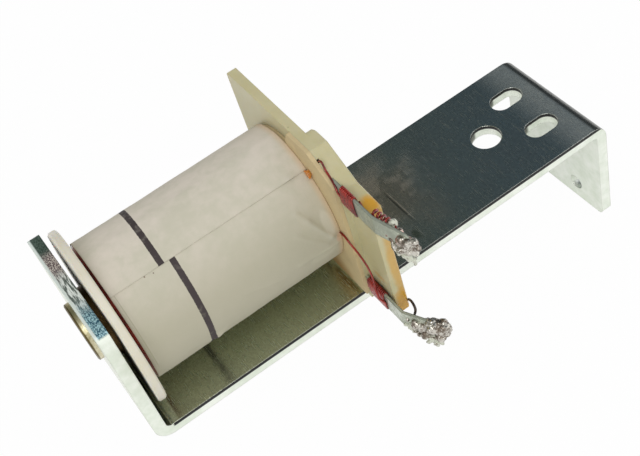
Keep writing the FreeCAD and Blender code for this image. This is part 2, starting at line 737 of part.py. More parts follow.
def make_start_lead(lug_level):
    """From the first layer, up the groove, over the slope and round the upper lug."""
    angle = math.radians(val("lead_angle"))
    axis_z = val(AXIS_Z)
    away = Vector(0, math.cos(angle), math.sin(angle))
    axis = Vector(0, 0, axis_z)
    wire = val("wire_dia")
    groove_x = val(f"{FLANGE_FACE} + wire_dia / 2 + lead_gap")
    front_x = val(f"{FLANGE_FACE} + lug_play / 2 - wire_dia / 2 - lead_gap")
    inner = axis + away * val(LEAD_RAD)
    slope_y = -val("(slope_start + slope_end) / 2")
    slope_z = axis_z + val("flange_top - slope_drop / 2")
    over = axis + away * (math.hypot(slope_y, slope_z - axis_z) + wire)
    edge_y = -val("guard_edge") - 1.5 * wire
    turns = turns_round_lug(edge_y - wire, 4, val("turn_pitch"), lug_level)
    points = [
        Vector(val(GUARD_FACE), inner.y, inner.z),
        Vector(groove_x, inner.y, inner.z),
        Vector(groove_x, over.y, over.z),
        Vector(groove_x - wire / 2, slope_y - 2 * wire, slope_z + 2 * wire),
        Vector(front_x, edge_y + wire, lug_level + val("lug_width / 2") + wire),
    ]
    points += turns
    outside = -val("flange_near + wire_dia")
    points += turns_round_lug(outside, 2, val("turn_pitch"), lug_level)
    return add_shape("start_lead", wire_solid(points, val("lead_bend_rad"), wire))


# The finish lead's slack over the recess: past the guard's edge, below the coil axis

FINISH_ROUTE = [(2.6, 1.4), (4.2, 3.4), (4.8, 6.4)]


def make_finish_lead(lug_level):
    """From the last layer, across the guard and round the lower lug."""
    wire = val("wire_dia")
    axis_z = val(AXIS_Z)
    guard_x = val(f"{GUARD_FACE} - wire_dia / 2 - lead_gap")
    front_x = val(f"{FLANGE_FACE} + lug_play / 2 - wire_dia / 2 - lead_gap")
    edge_y = -val("guard_edge")
    off_paper = val(f"{PAPER_RAD} + paper_thick + wire_dia / 2 + lead_gap")
    points = [
        Vector(guard_x, -off_paper, axis_z + wire),
        Vector(guard_x, edge_y - wire, axis_z - wire),
    ]
    for past, below in FINISH_ROUTE:
        points.append(Vector(front_x, edge_y - past, axis_z - below))
    first_turn = edge_y - FINISH_ROUTE[-1][0]
    above_lug = lug_level + val("lug_width / 2") + 1.5 * wire
    points.append(Vector(front_x, first_turn, above_lug))
    points += turns_round_lug(first_turn, 4, -val("turn_pitch"), lug_level)
    return add_shape("finish_lead", wire_solid(points, val("lead_bend_rad"), wire))


# The stub's loop: behind the lug's back, past the flange's edge, above the lug's middle

STUB_LOOP = [(0.4, 2.2, 1.5), (1.1, 1.5, 2.5), (2.1, 1.6, 2.3), (2.5, 2.7, 0.7),
             (2.0, 3.2, -0.7)]


def make_stub(lug_level):
    """Bare end of an old hookup wire, looped behind the lower lug into the solder."""
    back = val(f"{FLANGE_FACE} + lug_play / 2 + lug_thick")
    edge_y = -val("flange_near")
    points = [Vector(back + behind, edge_y - past, lug_level + above)
              for behind, past, above in STUB_LOOP]
    corner, along, across = lug_axes(lug_level, "lower_straight", "lower_angle")
    on_lug = corner + across * val("lug_thick / 2 + stub_dia / 2 + lead_gap")
    drop = Vector(0, 0, val("lug_width / 4"))
    points.append(on_lug + along * val("stub_hold / 3") - drop)
    points.append(on_lug + along * val("stub_hold") - drop)
    return add_shape("wire_stub", wire_solid(points, val("lead_bend_rad"), val("stub_dia")))


# Rings of the solder lumps: distance past the lug's bend, half thickness, half height, drop

RING_SIDES = 14
UPPER_RINGS = [
    (1.8, 0.8, 2.1, -0.6),
    (3.0, 1.6, 3.1, -0.5),
    (4.4, 2.1, 3.7, 0.0),
    (6.2, 2.2, 4.0, 1.0),
    (7.8, 1.7, 3.5, 1.8),
    (8.8, 0.8, 2.2, 2.2),
]
LOWER_RINGS = [
    (0.9, 0.6, 1.8, -0.4),
    (2.4, 1.6, 3.0, -0.2),
    (4.2, 2.4, 3.9, 0.3),
    (6.2, 2.7, 4.5, 1.0),
    (7.8, 2.1, 3.7, 0.9),
    (8.7, 1.0, 2.0, 0.5),
]


# Solder: a lump drawn through rings along the outer end of a lug

def make_solder(label, held, level, straight, angle, rings):
    """A lump with room in it for the pieces it holds."""
    corner, along, across = lug_axes(level, straight, angle)
    sections = []
    for past, half_thick, half_high, drop in rings:
        centre = corner + along * past - Vector(0, 0, drop)
        corners = []
        for side in range(RING_SIDES + 1):
            swing = 2 * math.pi * side / RING_SIDES
            corners.append(centre + across * half_thick * math.cos(swing)
                           + Vector(0, 0, half_high * math.sin(swing)))
        sections.append(Part.makePolygon(corners))
    lump = Part.makeLoft(sections, True, True)
    for piece in held:
        lump = lump.cut(piece.Shape)
    return add_shape(label, lump)


def make_drop():
    """A drop of varnish that holds the paper's lap against the guard."""
    radius = val("drop_rad")
    angle = math.radians(val("drop_angle"))
    lap = val(f"{PAPER_RAD} + 2 * paper_thick + lead_gap")
    reach = lap + radius / 2
    face = val(GUARD_FACE)
    centre = Vector(face, reach * math.cos(angle), val(AXIS_Z) + reach * math.sin(angle))
    ball = Part.makeSphere(radius, centre)
    half = Part.makeBox(radius, 2 * radius, 2 * radius,
                        centre - Vector(radius, radius, radius))
    core = Part.makeCylinder(lap, 2 * radius, Vector(face - radius, 0, val(AXIS_Z)),
                             Vector(1, 0, 0))
    return add_shape("varnish_drop", ball.common(half).cut(core))


def main():
    axis_z = val(AXIS_Z)
    upper = axis_z + val("upper_level")
    lower = axis_z - val("lower_level")
    upper_lug = make_lug("upper_lug", "upper_level", "upper_straight", "upper_reach",
                         "upper_angle")
    lower_lug = make_lug("lower_lug", "-lower_level", "lower_straight", "lower_reach",
                         "lower_angle")
    stub = make_stub(lower)
    pieces = [
        make_bracket(),
        make_core_plug(),
        make_bobbin(),
        make_guard(),
        tube("coil_sleeve", f"{PLUG_END} + sleeve_gap", f"{BLOCK_BACK} + sleeve_proud",
             f"{BORE_RAD} - sleeve_play - sleeve_wall", f"{BORE_RAD} - sleeve_play"),
        tube("barrel_sheet", COIL_START, GUARD_FACE, BARREL_RAD, SHEET_RAD),
        make_winding(),
        make_wrapper(),
        upper_lug,
        lower_lug,
        make_start_lead(upper),
        make_finish_lead(lower),
        make_solder("upper_solder", [upper_lug], upper, "upper_straight", "upper_angle",
                    UPPER_RINGS),
        make_solder("lower_solder", [lower_lug, stub], lower, "lower_straight", "lower_angle",
                    LOWER_RINGS),
        stub,
        make_drop(),
    ]
    doc.recompute()
    for item in doc.Objects:
        bad = [word for word in item.State if word in ("Invalid", "Error")]
        if bad:
            raise RuntimeError(f"{item.Name} is {bad}")
    os.makedirs("parts", exist_ok=True)
    for piece in pieces:
        shape = piece.Shape
        if shape.isNull() or not shape.isValid():
            raise RuntimeError(f"{piece.Label} has no valid shape")
        shape.exportStep(f"parts/{piece.Label}.step")
        box = shape.BoundBox
        print(f"{piece.Label}: {len(shape.Solids)} solid, {shape.Volume:.1f} mm3, "
              f"x {box.XMin:.2f} to {box.XMax:.2f}, y {box.YMin:.2f} to {box.YMax:.2f}, "
              f"z {box.ZMin:.2f} to {box.ZMax:.2f}")


main()
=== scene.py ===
import math
import random

import bmesh
import bpy
from bpy.props import FloatProperty, FloatVectorProperty, IntProperty, PointerProperty
from mathutils import Matrix, Vector, noise


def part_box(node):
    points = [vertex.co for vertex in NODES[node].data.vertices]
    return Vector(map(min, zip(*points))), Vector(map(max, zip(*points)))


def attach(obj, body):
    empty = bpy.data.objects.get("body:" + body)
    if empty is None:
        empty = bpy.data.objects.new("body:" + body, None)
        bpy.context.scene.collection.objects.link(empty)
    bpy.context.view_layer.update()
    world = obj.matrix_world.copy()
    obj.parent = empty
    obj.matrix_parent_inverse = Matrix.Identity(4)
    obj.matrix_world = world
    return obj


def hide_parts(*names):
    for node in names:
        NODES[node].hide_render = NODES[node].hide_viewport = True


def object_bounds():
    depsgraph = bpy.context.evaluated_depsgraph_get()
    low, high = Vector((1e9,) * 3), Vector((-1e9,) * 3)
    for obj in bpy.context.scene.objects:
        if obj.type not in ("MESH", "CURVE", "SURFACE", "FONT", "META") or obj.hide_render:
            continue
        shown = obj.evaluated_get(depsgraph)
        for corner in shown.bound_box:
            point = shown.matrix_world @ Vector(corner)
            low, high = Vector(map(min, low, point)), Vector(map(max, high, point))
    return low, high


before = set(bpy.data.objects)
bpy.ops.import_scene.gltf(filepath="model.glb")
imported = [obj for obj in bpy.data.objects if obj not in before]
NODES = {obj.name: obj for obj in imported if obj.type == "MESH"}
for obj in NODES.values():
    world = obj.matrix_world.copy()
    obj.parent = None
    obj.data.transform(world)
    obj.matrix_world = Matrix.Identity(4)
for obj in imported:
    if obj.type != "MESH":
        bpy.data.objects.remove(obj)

bl_info = {
    "name": "Solenoid coil finishes",
    "version": (1, 0, 0),
    "blender": (4, 5, 0),
    "location": "View3D > Sidebar > Solenoid",
    "description": "Finishes and soft details of a solenoid coil on its bent mounting strip",
    "category": "Object",
}

CAD_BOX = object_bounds()
MM = 0.001

# Places taken from the frame, in metres

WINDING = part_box("winding")
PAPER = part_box("wrapper")
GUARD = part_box("lead_guard")
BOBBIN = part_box("bobbin")
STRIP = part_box("bracket")
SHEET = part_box("barrel_sheet")
COIL_Z = (WINDING[0].z + WINDING[1].z) / 2
WINDING_RADIUS = (WINDING[1].z - WINDING[0].z) / 2
SHEET_RADIUS = (SHEET[1].z - SHEET[0].z) / 2
FLANGE_FACE = GUARD[1].x

# Sizes that several pieces share

LUG_HALF = 0.27 * MM                         # half the lugs' thickness
LUG_MIDDLE = FLANGE_FACE + LUG_HALF
STRIP_TOP = STRIP[0].z / MM + 26.3           # level of the strip's top, in millimetres
MAP_WIDTH = 20 * MM                          # width of paper in one unit of its map
UP = Vector((0, 0, 1))
LAMP_AIM = Vector((-40, 0, 10)) * MM          # the point that both lamps face


def tone(red, green, blue):
    """A colour given in screen values from 0 to 255, as Blender's linear values."""
    shares = [value / 255 for value in (red, green, blue)]
    return tuple(share / 12.92 if share <= 0.04045 else ((share + 0.055) / 1.055) ** 2.4
                 for share in shares)


def shaded(values, factor):
    """A colour made lighter or darker."""
    return [min(1.0, value * factor) for value in values]


def colour(name, description, values):
    return FloatVectorProperty(name=name, description=description, subtype="COLOR",
                               size=3, min=0.0, max=1.0, default=tone(*values))


def length(name, description, millimetres):
    return FloatProperty(name=name, description=description, unit="LENGTH",
                         default=millimetres * MM, precision=5)


def share(name, description, value, top=1.0):
    return FloatProperty(name=name, description=description, min=0.0, max=top, default=value)


def angle(name, description, degrees):
    return FloatProperty(name=name, description=description, subtype="ANGLE",
                         default=math.radians(degrees))


# Sizes and colours that a user would change

class StageSettings(bpy.types.PropertyGroup):
    floor_height: length("Floor height", "Height of the floor, just below the foot", -24.2)
    floor_size: length("Floor size", "Side of the square floor", 4000)
    camera_place: FloatVectorProperty(
        name="Camera place", description="Where the camera stands", subtype="TRANSLATION",
        unit="LENGTH", size=3, default=(-0.09072, -0.14439, 0.17777))
    camera_turn: FloatVectorProperty(
        name="Camera turn", description="How the camera is turned", subtype="EULER",
        unit="ROTATION", size=3,
        default=tuple(math.radians(value) for value in (40.347, 12.85, -33.951)))
    camera_lens: FloatProperty(name="Lens", description="Focal length in millimetres",
                               default=66.84)
    paper_white: colour("Background", "Colour of the floor and the backdrop", (255, 255, 255))
    room_cool: colour("Cool dark", "Dark room that the metal mirrors, on +X", (58, 73, 84))
    room_warm: colour("Warm dark", "Dark room that the metal mirrors, on -X", (76, 80, 62))
    room_light: share("Room light", "Strength of the even light of the room", 0.66, 4.0)
    key_power: share("Key lamp", "Power of the main lamp in watts", 2.0, 50.0)
    fill_power: share("Fill lamp", "Power of the lamp on the other side in watts", 0.7, 50.0)


class StripSettings(bpy.types.PropertyGroup):
    zinc: colour("Zinc", "Zinc plating", (232, 234, 224))
    zinc_blue: colour("Blue zinc", "Bluer patches of the plating", (208, 214, 210))
    zinc_brown: colour("Brown zinc", "Stained plating beside the coil", (206, 190, 168))
    steel: colour("Bare steel", "Bare steel of the sheared edges", (150, 148, 150))
    roughness: share("Roughness", "Roughness of the plating", 0.17)
    scratch: share("Scratches", "Share of the plating that is scratched", 0.5)
    mark_place: length("Old mark", "Distance of the old witness line from the hole", -23.5)


class BobbinSettings(bpy.types.PropertyGroup):
    nylon: colour("Nylon", "Moulded nylon, yellowed", (190, 183, 142))
    nylon_pale: colour("Pale nylon", "The paler nylon of the round flange", (218, 214, 200))
    burn: colour("Burn", "Nylon scorched by soldering", (204, 152, 34))
    board: colour("Board", "Stiff guard in front of the lug roots", (195, 176, 134))
    sleeve: colour("Sleeve", "Nylon tube in the bore", (226, 224, 210))
    sheet: colour("Sheet", "Insulating sheet round the barrel", (196, 172, 120))


class PaperSettings(bpy.types.PropertyGroup):
    paper: colour("Paper", "Wrapper paper", (214, 205, 192))
    paper_worn: colour("Worn paper", "Greyer worn paper", (197, 193, 175))
    stripe: colour("Stripe", "Plain printed stripe", (48, 36, 40))
    stripe_place: length("Stripe place", "Stripe at the seam, from the paper's left edge", 12.1)
    stripe_width: length("Stripe width", "Width of the stripe", 1.15)
    stripe_drift: length("Stripe drift", "How far the stripe drifts in one turn", 2.0)
    thickness: length("Thickness", "Thickness of the paper", 0.13)
    seam: angle("Seam", "Edge of the lap, from +Y towards +Z", 124.0)
    lap: angle("Lap", "Angle of the lap", 38.0)
    around: IntProperty(name="Steps round", description="Steps round the paper", default=330)
    across: IntProperty(name="Steps across", description="Steps along the paper", default=110)


class WireSettings(bpy.types.PropertyGroup):
    diameter: length("Wire", "Diameter of the enamelled wire", 0.4)
    layers: IntProperty(name="Layers", description="Outer layers made turn by turn", default=3)
    enamel: colour("Enamel", "Red-brown enamel over copper", (158, 36, 22))
    enamel_dark: colour("Dark enamel", "Darker stretches of the enamel", (92, 12, 12))
    turn_pitch: length("Turn pitch", "From turn to turn of a lead on its lug", 0.42)
    stub_diameter: length("Stub", "Diameter of the bare wire end", 0.5)
    stub: colour("Bare wire", "Dulled bare copper wire", (66, 58, 52))


class LugSettings(bpy.types.PropertyGroup):
    brass: colour("Tinned brass", "Tinned brass, dulled by flux", (196, 202, 186))
    # Painted shadow: this dark green, laid along the lug's edges, stands in for the shade of the
    # gaps beside them
    brass_edge_shadow: colour("Green seam", "Green tarnish along the lug's edges", (62, 74, 48))
    solder: colour("Solder", "Lead-tin solder", (204, 200, 190))
    solder_dark: colour("Dull solder", "Dull hollows of the solder", (116, 104, 92))
    solder_pink: colour("Copper stain", "Solder stained by copper", (196, 150, 138))
    flux: colour("Flux", "Pale flux left on the solder", (204, 207, 190))
    varnish: colour("Varnish", "Amber varnish", (206, 136, 62))
    upper_straight: length("Upper lug", "Upper lug straight on past the flange", 2.6)
    upper_turn: angle("Upper bend", "Turn of the upper lug", 14.0)
    lower_straight: length("Lower lug", "Lower lug straight on past the flange", 3.6)
    lower_turn: angle("Lower bend", "Turn of the lower lug", 26.0)


SETTINGS = {
    "solenoid_stage": StageSettings,
    "solenoid_strip": StripSettings,
    "solenoid_bobbin": BobbinSettings,
    "solenoid_paper": PaperSettings,
    "solenoid_wire": WireSettings,
    "solenoid_lug": LugSettings,
}


# Node trees: adding nodes, feeding sockets and shared shader groups

class Nodes:
    """Adds nodes to one tree and links them."""

    def __init__(self, tree):
        self.tree = tree

    def add(self, kind, **settings):
        node = self.tree.nodes.new(kind)
        for name, value in settings.items():
            setattr(node, name, value)
        return node

    def feed(self, socket, value):
        if isinstance(value, bpy.types.NodeSocket):
            self.tree.links.new(value, socket)
        elif isinstance(value, (int, float)) or socket.type != "RGBA":
            socket.default_value = value
        else:
            socket.default_value = (*value[:3], 1.0)

    def fill(self, node, *values, **named):
        """Feed inputs in order and by name, where an underscore stands for a space."""
        for socket, value in zip(node.inputs, values):
            self.feed(socket, value)
        for name, value in named.items():
            self.feed(node.inputs[name.replace("_", " ")], value)
        return node.outputs

    def math(self, operation, first, *rest):
        """One operation, carried on from value to value where there are more than two."""
        for given in [(second,) for second in rest] or [()]:
            node = self.add("ShaderNodeMath", operation=operation)
            first = self.fill(node, first, *given)[0]
        return first

    def plus(self, *values):
        return self.math("ADD", *values)

    def minus(self, *values):
        return self.math("SUBTRACT", *values)

    def times(self, *values):
        return self.math("MULTIPLY", *values) if values[1:] else values[0]

    def most(self, *values):
        return self.math("MAXIMUM", *values)

    def apart(self, first, second):
        return self.math("ABSOLUTE", self.minus(first, second))

    def vector(self, operation, *values):
        node = self.add("ShaderNodeVectorMath", operation=operation)
        scalar = operation in ("DOT_PRODUCT", "LENGTH")
        return self.fill(node, *values)["Value" if scalar else "Vector"]

    def split(self, vector):
        return self.fill(self.add("ShaderNodeSeparateXYZ"), vector)

    def joined(self, x, y, z):
        return self.fill(self.add("ShaderNodeCombineXYZ"), x, y, z)[0]

    def placed(self, vector, turn=(0, 0, 0), scale=(1, 1, 1)):
        mapping = self.add("ShaderNodeMapping")
        return self.fill(mapping, Vector=vector, Rotation=turn, Scale=scale)[0]

    def noise(self, vector, scale, detail=3.0, distortion=0.0):
        return self.fill(self.add("ShaderNodeTexNoise"), Vector=vector, Scale=scale,
                         Detail=detail, Roughness=0.55, Distortion=distortion)[0]

    def cells(self, vector, scale):
        return self.fill(self.add("ShaderNodeTexVoronoi"), Vector=vector, Scale=scale)

    def remap(self, value, low, high, to_low=0.0, to_high=1.0):
        node = self.add("ShaderNodeMapRange", interpolation_type="SMOOTHSTEP")
        return self.fill(node, value, low, high, to_low, to_high)[0]

    def mix(self, factor, first, second):
        node = self.add("ShaderNodeMix", data_type="RGBA")
        self.feed(node.inputs[0], factor)
        self.feed(node.inputs[6], first)
        self.feed(node.inputs[7], second)
        return node.outputs[2]

    def over(self, base, tint, *masks):
        """A tint laid over a base colour by the product of its masks."""
        return self.mix(self.times(*masks), base, tint)

    def group(self, maker, **values):
        return self.fill(self.add("ShaderNodeGroup", node_tree=maker()), **values)

    def bump(self, height, distance, strength, **normal):
        return self.fill(self.add("ShaderNodeBump"), Height=height, Distance=distance,
                         Strength=strength, **normal)[0]


class Finish(Nodes):
    """A new material's nodes, with its object coordinates and a mottling.

    The roughness is one value, or a pair between which it follows the mottling.
    """

    def __init__(self, name, broad, fine, roughness=0.5, metallic=0.0):
        self.material = bpy.data.materials.new(name)
        self.material.use_nodes = True
        super().__init__(self.material.node_tree)
        self.place = self.add("ShaderNodeTexCoord").outputs["Object"]
        self.x, self.y, self.z = self.split(self.place)[:3]
        self.mottle = self.group(clouds, Vector=self.place, Broad=broad, Fine=fine)["Value"]
        if isinstance(roughness, tuple):
            roughness = self.remap(self.mottle, 0.0, 1.0, *roughness)
        self.show(Roughness=roughness, Metallic=metallic)

    def show(self, **values):
        """Feed the shader's inputs and give the finished material."""
        self.fill(self.tree.nodes["Principled BSDF"], **values)
        return self.material

    def grain(self, scale, **settings):
        return self.noise(self.place, scale, **settings)

    def fade(self, place, start, end, *strengths):
        """A value that changes between two places, given in millimetres."""
        return self.remap(place, start * MM, end * MM, *strengths)

    def spot(self, centre, reach, softness, ragged, grain):
        """A soft ragged patch, its centre and reach in millimetres."""
        return self.group(patch, Vector=self.place, Centre=Vector(centre) * MM,
                          Radius=Vector(reach) * MM, Softness=softness, Ragged=ragged,
                          Grain=grain)["Mask"]

    def scratched(self, scale, stretch, share_held):
        return self.group(scratches, Vector=self.place, Scale=scale, Stretch=stretch,
                          Share=share_held)["Mask"]

    def specked(self, scale, share_held, size):
        return self.group(specks, Vector=self.place, Scale=scale, Share=share_held,
                          Size=size)["Mask"]

    def worn(self, radius):
        return self.group(edge_wear_and_shade, Vector=self.place, Radius=radius * MM)


def shared_group(name, inputs, output, build):
    """A shader group made once. Inputs are names with their starting values."""
    found = bpy.data.node_groups.get(name)
    if found:
        return found
    tree = bpy.data.node_groups.new(name, "ShaderNodeTree")
    for label, value in {"Vector": (0.0, 0.0, 0.0), **inputs}.items():
        kind = "NodeSocketVector" if isinstance(value, tuple) else "NodeSocketFloat"
        socket = tree.interface.new_socket(name=label, in_out="INPUT", socket_type=kind)
        socket.default_value = value
    for label, kind in output.items():
        tree.interface.new_socket(name=label, in_out="OUTPUT", socket_type="NodeSocket" + kind)
    nodes = Nodes(tree)
    given = nodes.add("NodeGroupInput").outputs
    nodes.fill(nodes.add("NodeGroupOutput"), **build(nodes, given))
    return tree


def scratches():
    """Fine straight scratches that run several ways."""
    def build(nodes, given):
        narrow = nodes.math("DIVIDE", given["Scale"], given["Stretch"])
        scale = nodes.joined(given["Scale"], narrow, given["Scale"])
        edge = nodes.minus(0.72, nodes.times(given["Share"], 0.12))
        lines = []
        for turn in (0.35, 1.1, 1.9, 2.7):
            ways = nodes.placed(given["Vector"], turn=(0, 0, turn), scale=scale)
            lines.append(nodes.remap(nodes.noise(ways, 1.0, detail=2.0), edge,
                                     nodes.plus(edge, 0.05)))
        return {"Mask": nodes.most(*lines)}
    return shared_group("Fine scratches", {"Scale": 2500.0, "Stretch": 26.0, "Share": 0.5},
                        {"Mask": "Float"}, build)


def specks():
    """Small round specks in a share of the cells."""
    def build(nodes, given):
        cell = nodes.cells(given["Vector"], given["Scale"])
        chosen = nodes.math("LESS_THAN", nodes.split(cell["Color"])[0], given["Share"])
        inside = nodes.remap(cell["Distance"], given["Size"], nodes.times(given["Size"], 0.6))
        return {"Mask": nodes.times(chosen, inside)}
    return shared_group("Specks", {"Scale": 800.0, "Share": 0.05, "Size": 0.3},
                        {"Mask": "Float"}, build)


def patch():
    """A soft ragged patch round a centre, in the part's own coordinates."""
    def build(nodes, given):
        away = nodes.vector("SUBTRACT", given["Vector"], given["Centre"])
        reach = nodes.vector("LENGTH", nodes.vector("DIVIDE", away, given["Radius"]))
        ragged = nodes.minus(nodes.noise(given["Vector"], given["Grain"]), 0.5)
        reach = nodes.plus(reach, nodes.times(ragged, given["Ragged"]))
        return {"Mask": nodes.remap(reach, 1.0, nodes.minus(1.0, given["Softness"]))}
    return shared_group("Soft patch",
                        {"Centre": (0.0, 0.0, 0.0), "Radius": (0.01, 0.01, 0.01),
                         "Softness": 0.5, "Ragged": 0.6, "Grain": 600.0},
                        {"Mask": "Float"}, build)


def edge_wear_and_shade():
    """Worn corners on the strip and painted shadow along the lugs' edges, found where a rounded
    normal leaves the true one.
    """
    def build(nodes, given):
        bevel = nodes.add("ShaderNodeBevel", samples=6)
        rounded = nodes.fill(bevel, Radius=given["Radius"])[0]
        true = nodes.add("ShaderNodeNewGeometry").outputs["Normal"]
        bent = nodes.minus(1.0, nodes.vector("DOT_PRODUCT", rounded, true))
        rough = nodes.plus(nodes.noise(given["Vector"], given["Grain"]), 0.5)
        return {"Mask": nodes.remap(nodes.times(bent, rough), 0.02, 0.16),
                "Normal": rounded}
    return shared_group("Edge wear and shade", {"Radius": 0.3 * MM, "Grain": 1500.0},
                        {"Mask": "Float", "Normal": "Vector"}, build)


def clouds():
    """Broad and fine mottling added together, about one half in the middle."""
    def build(nodes, given):
        broad = nodes.noise(given["Vector"], given["Broad"], detail=4.0)
        fine = nodes.noise(given["Vector"], given["Fine"], detail=4.0)
        total = nodes.plus(nodes.times(broad, 0.62), nodes.times(fine, 0.38))
        return {"Value": nodes.remap(total, 0.36, 0.64)}
    return shared_group("Clouds", {"Broad": 120.0, "Fine": 900.0}, {"Value": "Float"}, build)


# Materials

def sheared_top(finish, base, flat):
    """Colours of the stop tab's sheared top, and where it is."""
    top = finish.times(finish.fade(finish.z, 24, 25), finish.remap(flat, 0.5, 0.8))
    short = finish.placed(finish.place, scale=(2.2, 1.0, 1.0))
    grain = finish.noise(short, 2600.0, detail=4.0)
    long = finish.placed(finish.place, scale=(3.0, 0.35, 1.0))
    streak = finish.noise(long, 1300.0)
    green = finish.mix(finish.remap(grain, 0.3, 0.7), tone(38, 58, 48), tone(92, 110, 100))
    purple = finish.mix(finish.remap(grain, 0.42, 0.62), tone(88, 70, 74), tone(214, 206, 196))
    silver = finish.mix(finish.remap(streak, 0.42, 0.56), tone(96, 106, 100),
                        tone(238, 244, 240))
    teal = finish.mix(finish.remap(grain, 0.42, 0.6), tone(34, 84, 104), tone(168, 206, 212))
    shown = finish.over(green, purple, finish.fade(finish.y, 9.5, 7.0))
    shown = finish.over(shown, silver, finish.fade(finish.y, 4.5, 0))
    shown = finish.over(shown, teal, finish.fade(finish.y, -3.5, -9.5))
    # Painted highlight: a near-white band along the outer edge of the tab's top
    outer = finish.remap(finish.x, STRIP[0].x + 0.6 * MM, STRIP[0].x + 0.3 * MM)
    shown = finish.over(shown, tone(228, 238, 232), outer)
    return finish.over(base, shown, top), top


def zinc_material(strip):
    """Plating stained beside the coil and marked across, with painted reflections: its sides
    painted nearly white and a pale green tint under the coil; painted shade on the far bend,
    along the top of the sides and beside the mark.
    """
    finish = Finish("zinc_steel", 70.0, 520.0)
    base = finish.mix(finish.mottle, strip.zinc, strip.zinc_blue)
    # Painted reflection: a pale green tint under the coil stands in for the paper mirrored in the
    # plating
    under = finish.fade(finish.x, -38, -44)
    base = finish.over(base, tone(230, 238, 208), under, 0.7)
    stain = finish.spot((-27, 2, STRIP_TOP), (16, 17, 5), 0.8, 0.9, 160.0)
    base = finish.over(base, strip.zinc_brown, stain, 0.8)
    dark = finish.remap(finish.grain(3200.0, detail=4.0), 0.36, 0.62, 0.25, 0.0)
    base = finish.over(base, tone(60, 66, 74), dark)
    line = strip.mark_place / MM
    mark = finish.spot((line, -2, STRIP_TOP), (0.16, 7, 1), 0.5, 0.3, 900.0)
    shade = finish.spot((line - 0.45, -2, STRIP_TOP), (0.2, 7.2, 1), 0.6, 0.3, 700.0)
    smear = finish.spot((-25.6, -10.2, STRIP_TOP), (0.9, 1.6, 1), 0.6, 0.8, 700.0)
    base = finish.over(base, (0.04, 0.04, 0.03), shade, 0.75)
    base = finish.over(base, tone(96, 112, 70), smear, 0.5)
    scuffed = finish.most(finish.scratched(3400.0, 14.0, strip.scratch),
                          finish.scratched(1200.0, 12.0, 0.1),
                          finish.specked(1100.0, 0.08, 0.3), mark)
    facing = finish.split(finish.add("ShaderNodeNewGeometry").outputs["Normal"])
    upright = finish.remap(finish.math("ABSOLUTE", facing[2]), 0.6, 0.35)
    foot = finish.times(upright, finish.fade(finish.x, -16, -14))
    side = finish.most(finish.remap(finish.math("ABSOLUTE", facing[1]), 0.6, 0.9), foot)
    # Painted reflection: the sides and the foot's upright faces are painted nearly white, as the
    # bright room mirrored in them
    painted_side_reflection = finish.mix(finish.mottle, tone(246, 250, 240), tone(226, 234, 218))
    base = finish.over(base, painted_side_reflection, side)
    # Painted shade: the upper part of the far bend is painted dark
    bend = finish.times(finish.remap(facing[0], 0.06, 0.3),
                        finish.fade(finish.z, STRIP_TOP - 2.8, STRIP_TOP - 1.6))
    base = finish.over(base, tone(60, 60, 54), bend, 0.85)
    worn = finish.worn(0.35)
    base = finish.over(base, strip.zinc, worn["Mask"], 0.5)
    # Painted shade: a near-black line along the top of the strip's sides
    painted_edge_shade = finish.times(side, finish.fade(finish.z, STRIP_TOP - 0.85, STRIP_TOP - 0.7),
                       finish.fade(finish.z, STRIP_TOP + 0.3, STRIP_TOP + 0.1),
                       finish.fade(finish.x, -84.2, -83.8))
    base = finish.over(base, tone(3, 4, 3), painted_edge_shade)
    base, sheared = sheared_top(finish, base, facing[2])
    raised = finish.most(side, sheared)
    rough = finish.plus(strip.roughness, finish.times(finish.mottle, 0.1),
                        finish.times(scuffed, 0.16), finish.times(raised, 0.3))
    blotches = finish.times(stain, finish.remap(finish.mottle, 0.3, 0.8, 0.07, 0.2))
    far = finish.times(finish.fade(finish.x, 7, 15), 0.16)
    dull = finish.most(finish.times(raised, 0.75), far, blotches, finish.times(mark, 0.2))
    height = finish.plus(finish.times(finish.grain(700.0), 0.5), finish.times(scuffed, 0.15))
    return finish.show(Base_Color=base, Roughness=rough, Metallic=finish.minus(1.0, dull),
                       Normal=finish.bump(height, 0.05 * MM, 0.5, Normal=worn["Normal"]))


def plug_material(strip):
    """Turned steel with fine rings, a brown shoulder and a pale head with a dark edge."""
    finish = Finish("plug_steel", 260.0, 1600.0, (0.28, 0.5), metallic=1.0)
    base = finish.mix(finish.mottle, strip.zinc, strip.steel)
    shoulder = finish.fade(finish.x, -82.6, -83.2)
    base = finish.over(base, tone(92, 72, 44), shoulder)
    pale = finish.mix(finish.mottle, tone(222, 214, 186), tone(168, 156, 120))
    base = finish.over(base, pale, finish.fade(finish.x, -86, -87.2))
    edge = finish.fade(finish.x, -88.1, -88.35)
    rings = finish.noise(finish.placed(finish.place, scale=(5200.0, 60.0, 60.0)), 1.0)
    return finish.show(Base_Color=finish.over(base, tone(96, 84, 48), edge),
                       Normal=finish.bump(rings, 0.02 * MM, 0.4))


# Scorched patches of the terminal flange in millimetres: centre, reach each way and strength

BURNS = [
    ((-38.8, -22.9, 31.6), (2.6, 3.4, 2.6), 0.95),
    ((-38.0, -24.6, 6.6), (2.8, 2.2, 4.6), 0.9),
    ((-37.9, -24.8, 17.0), (1.7, 1.4, 13.0), 0.65),
    ((-40.0, -20.6, 12.0), (0.6, 3.0, 0.9), 0.4),
]


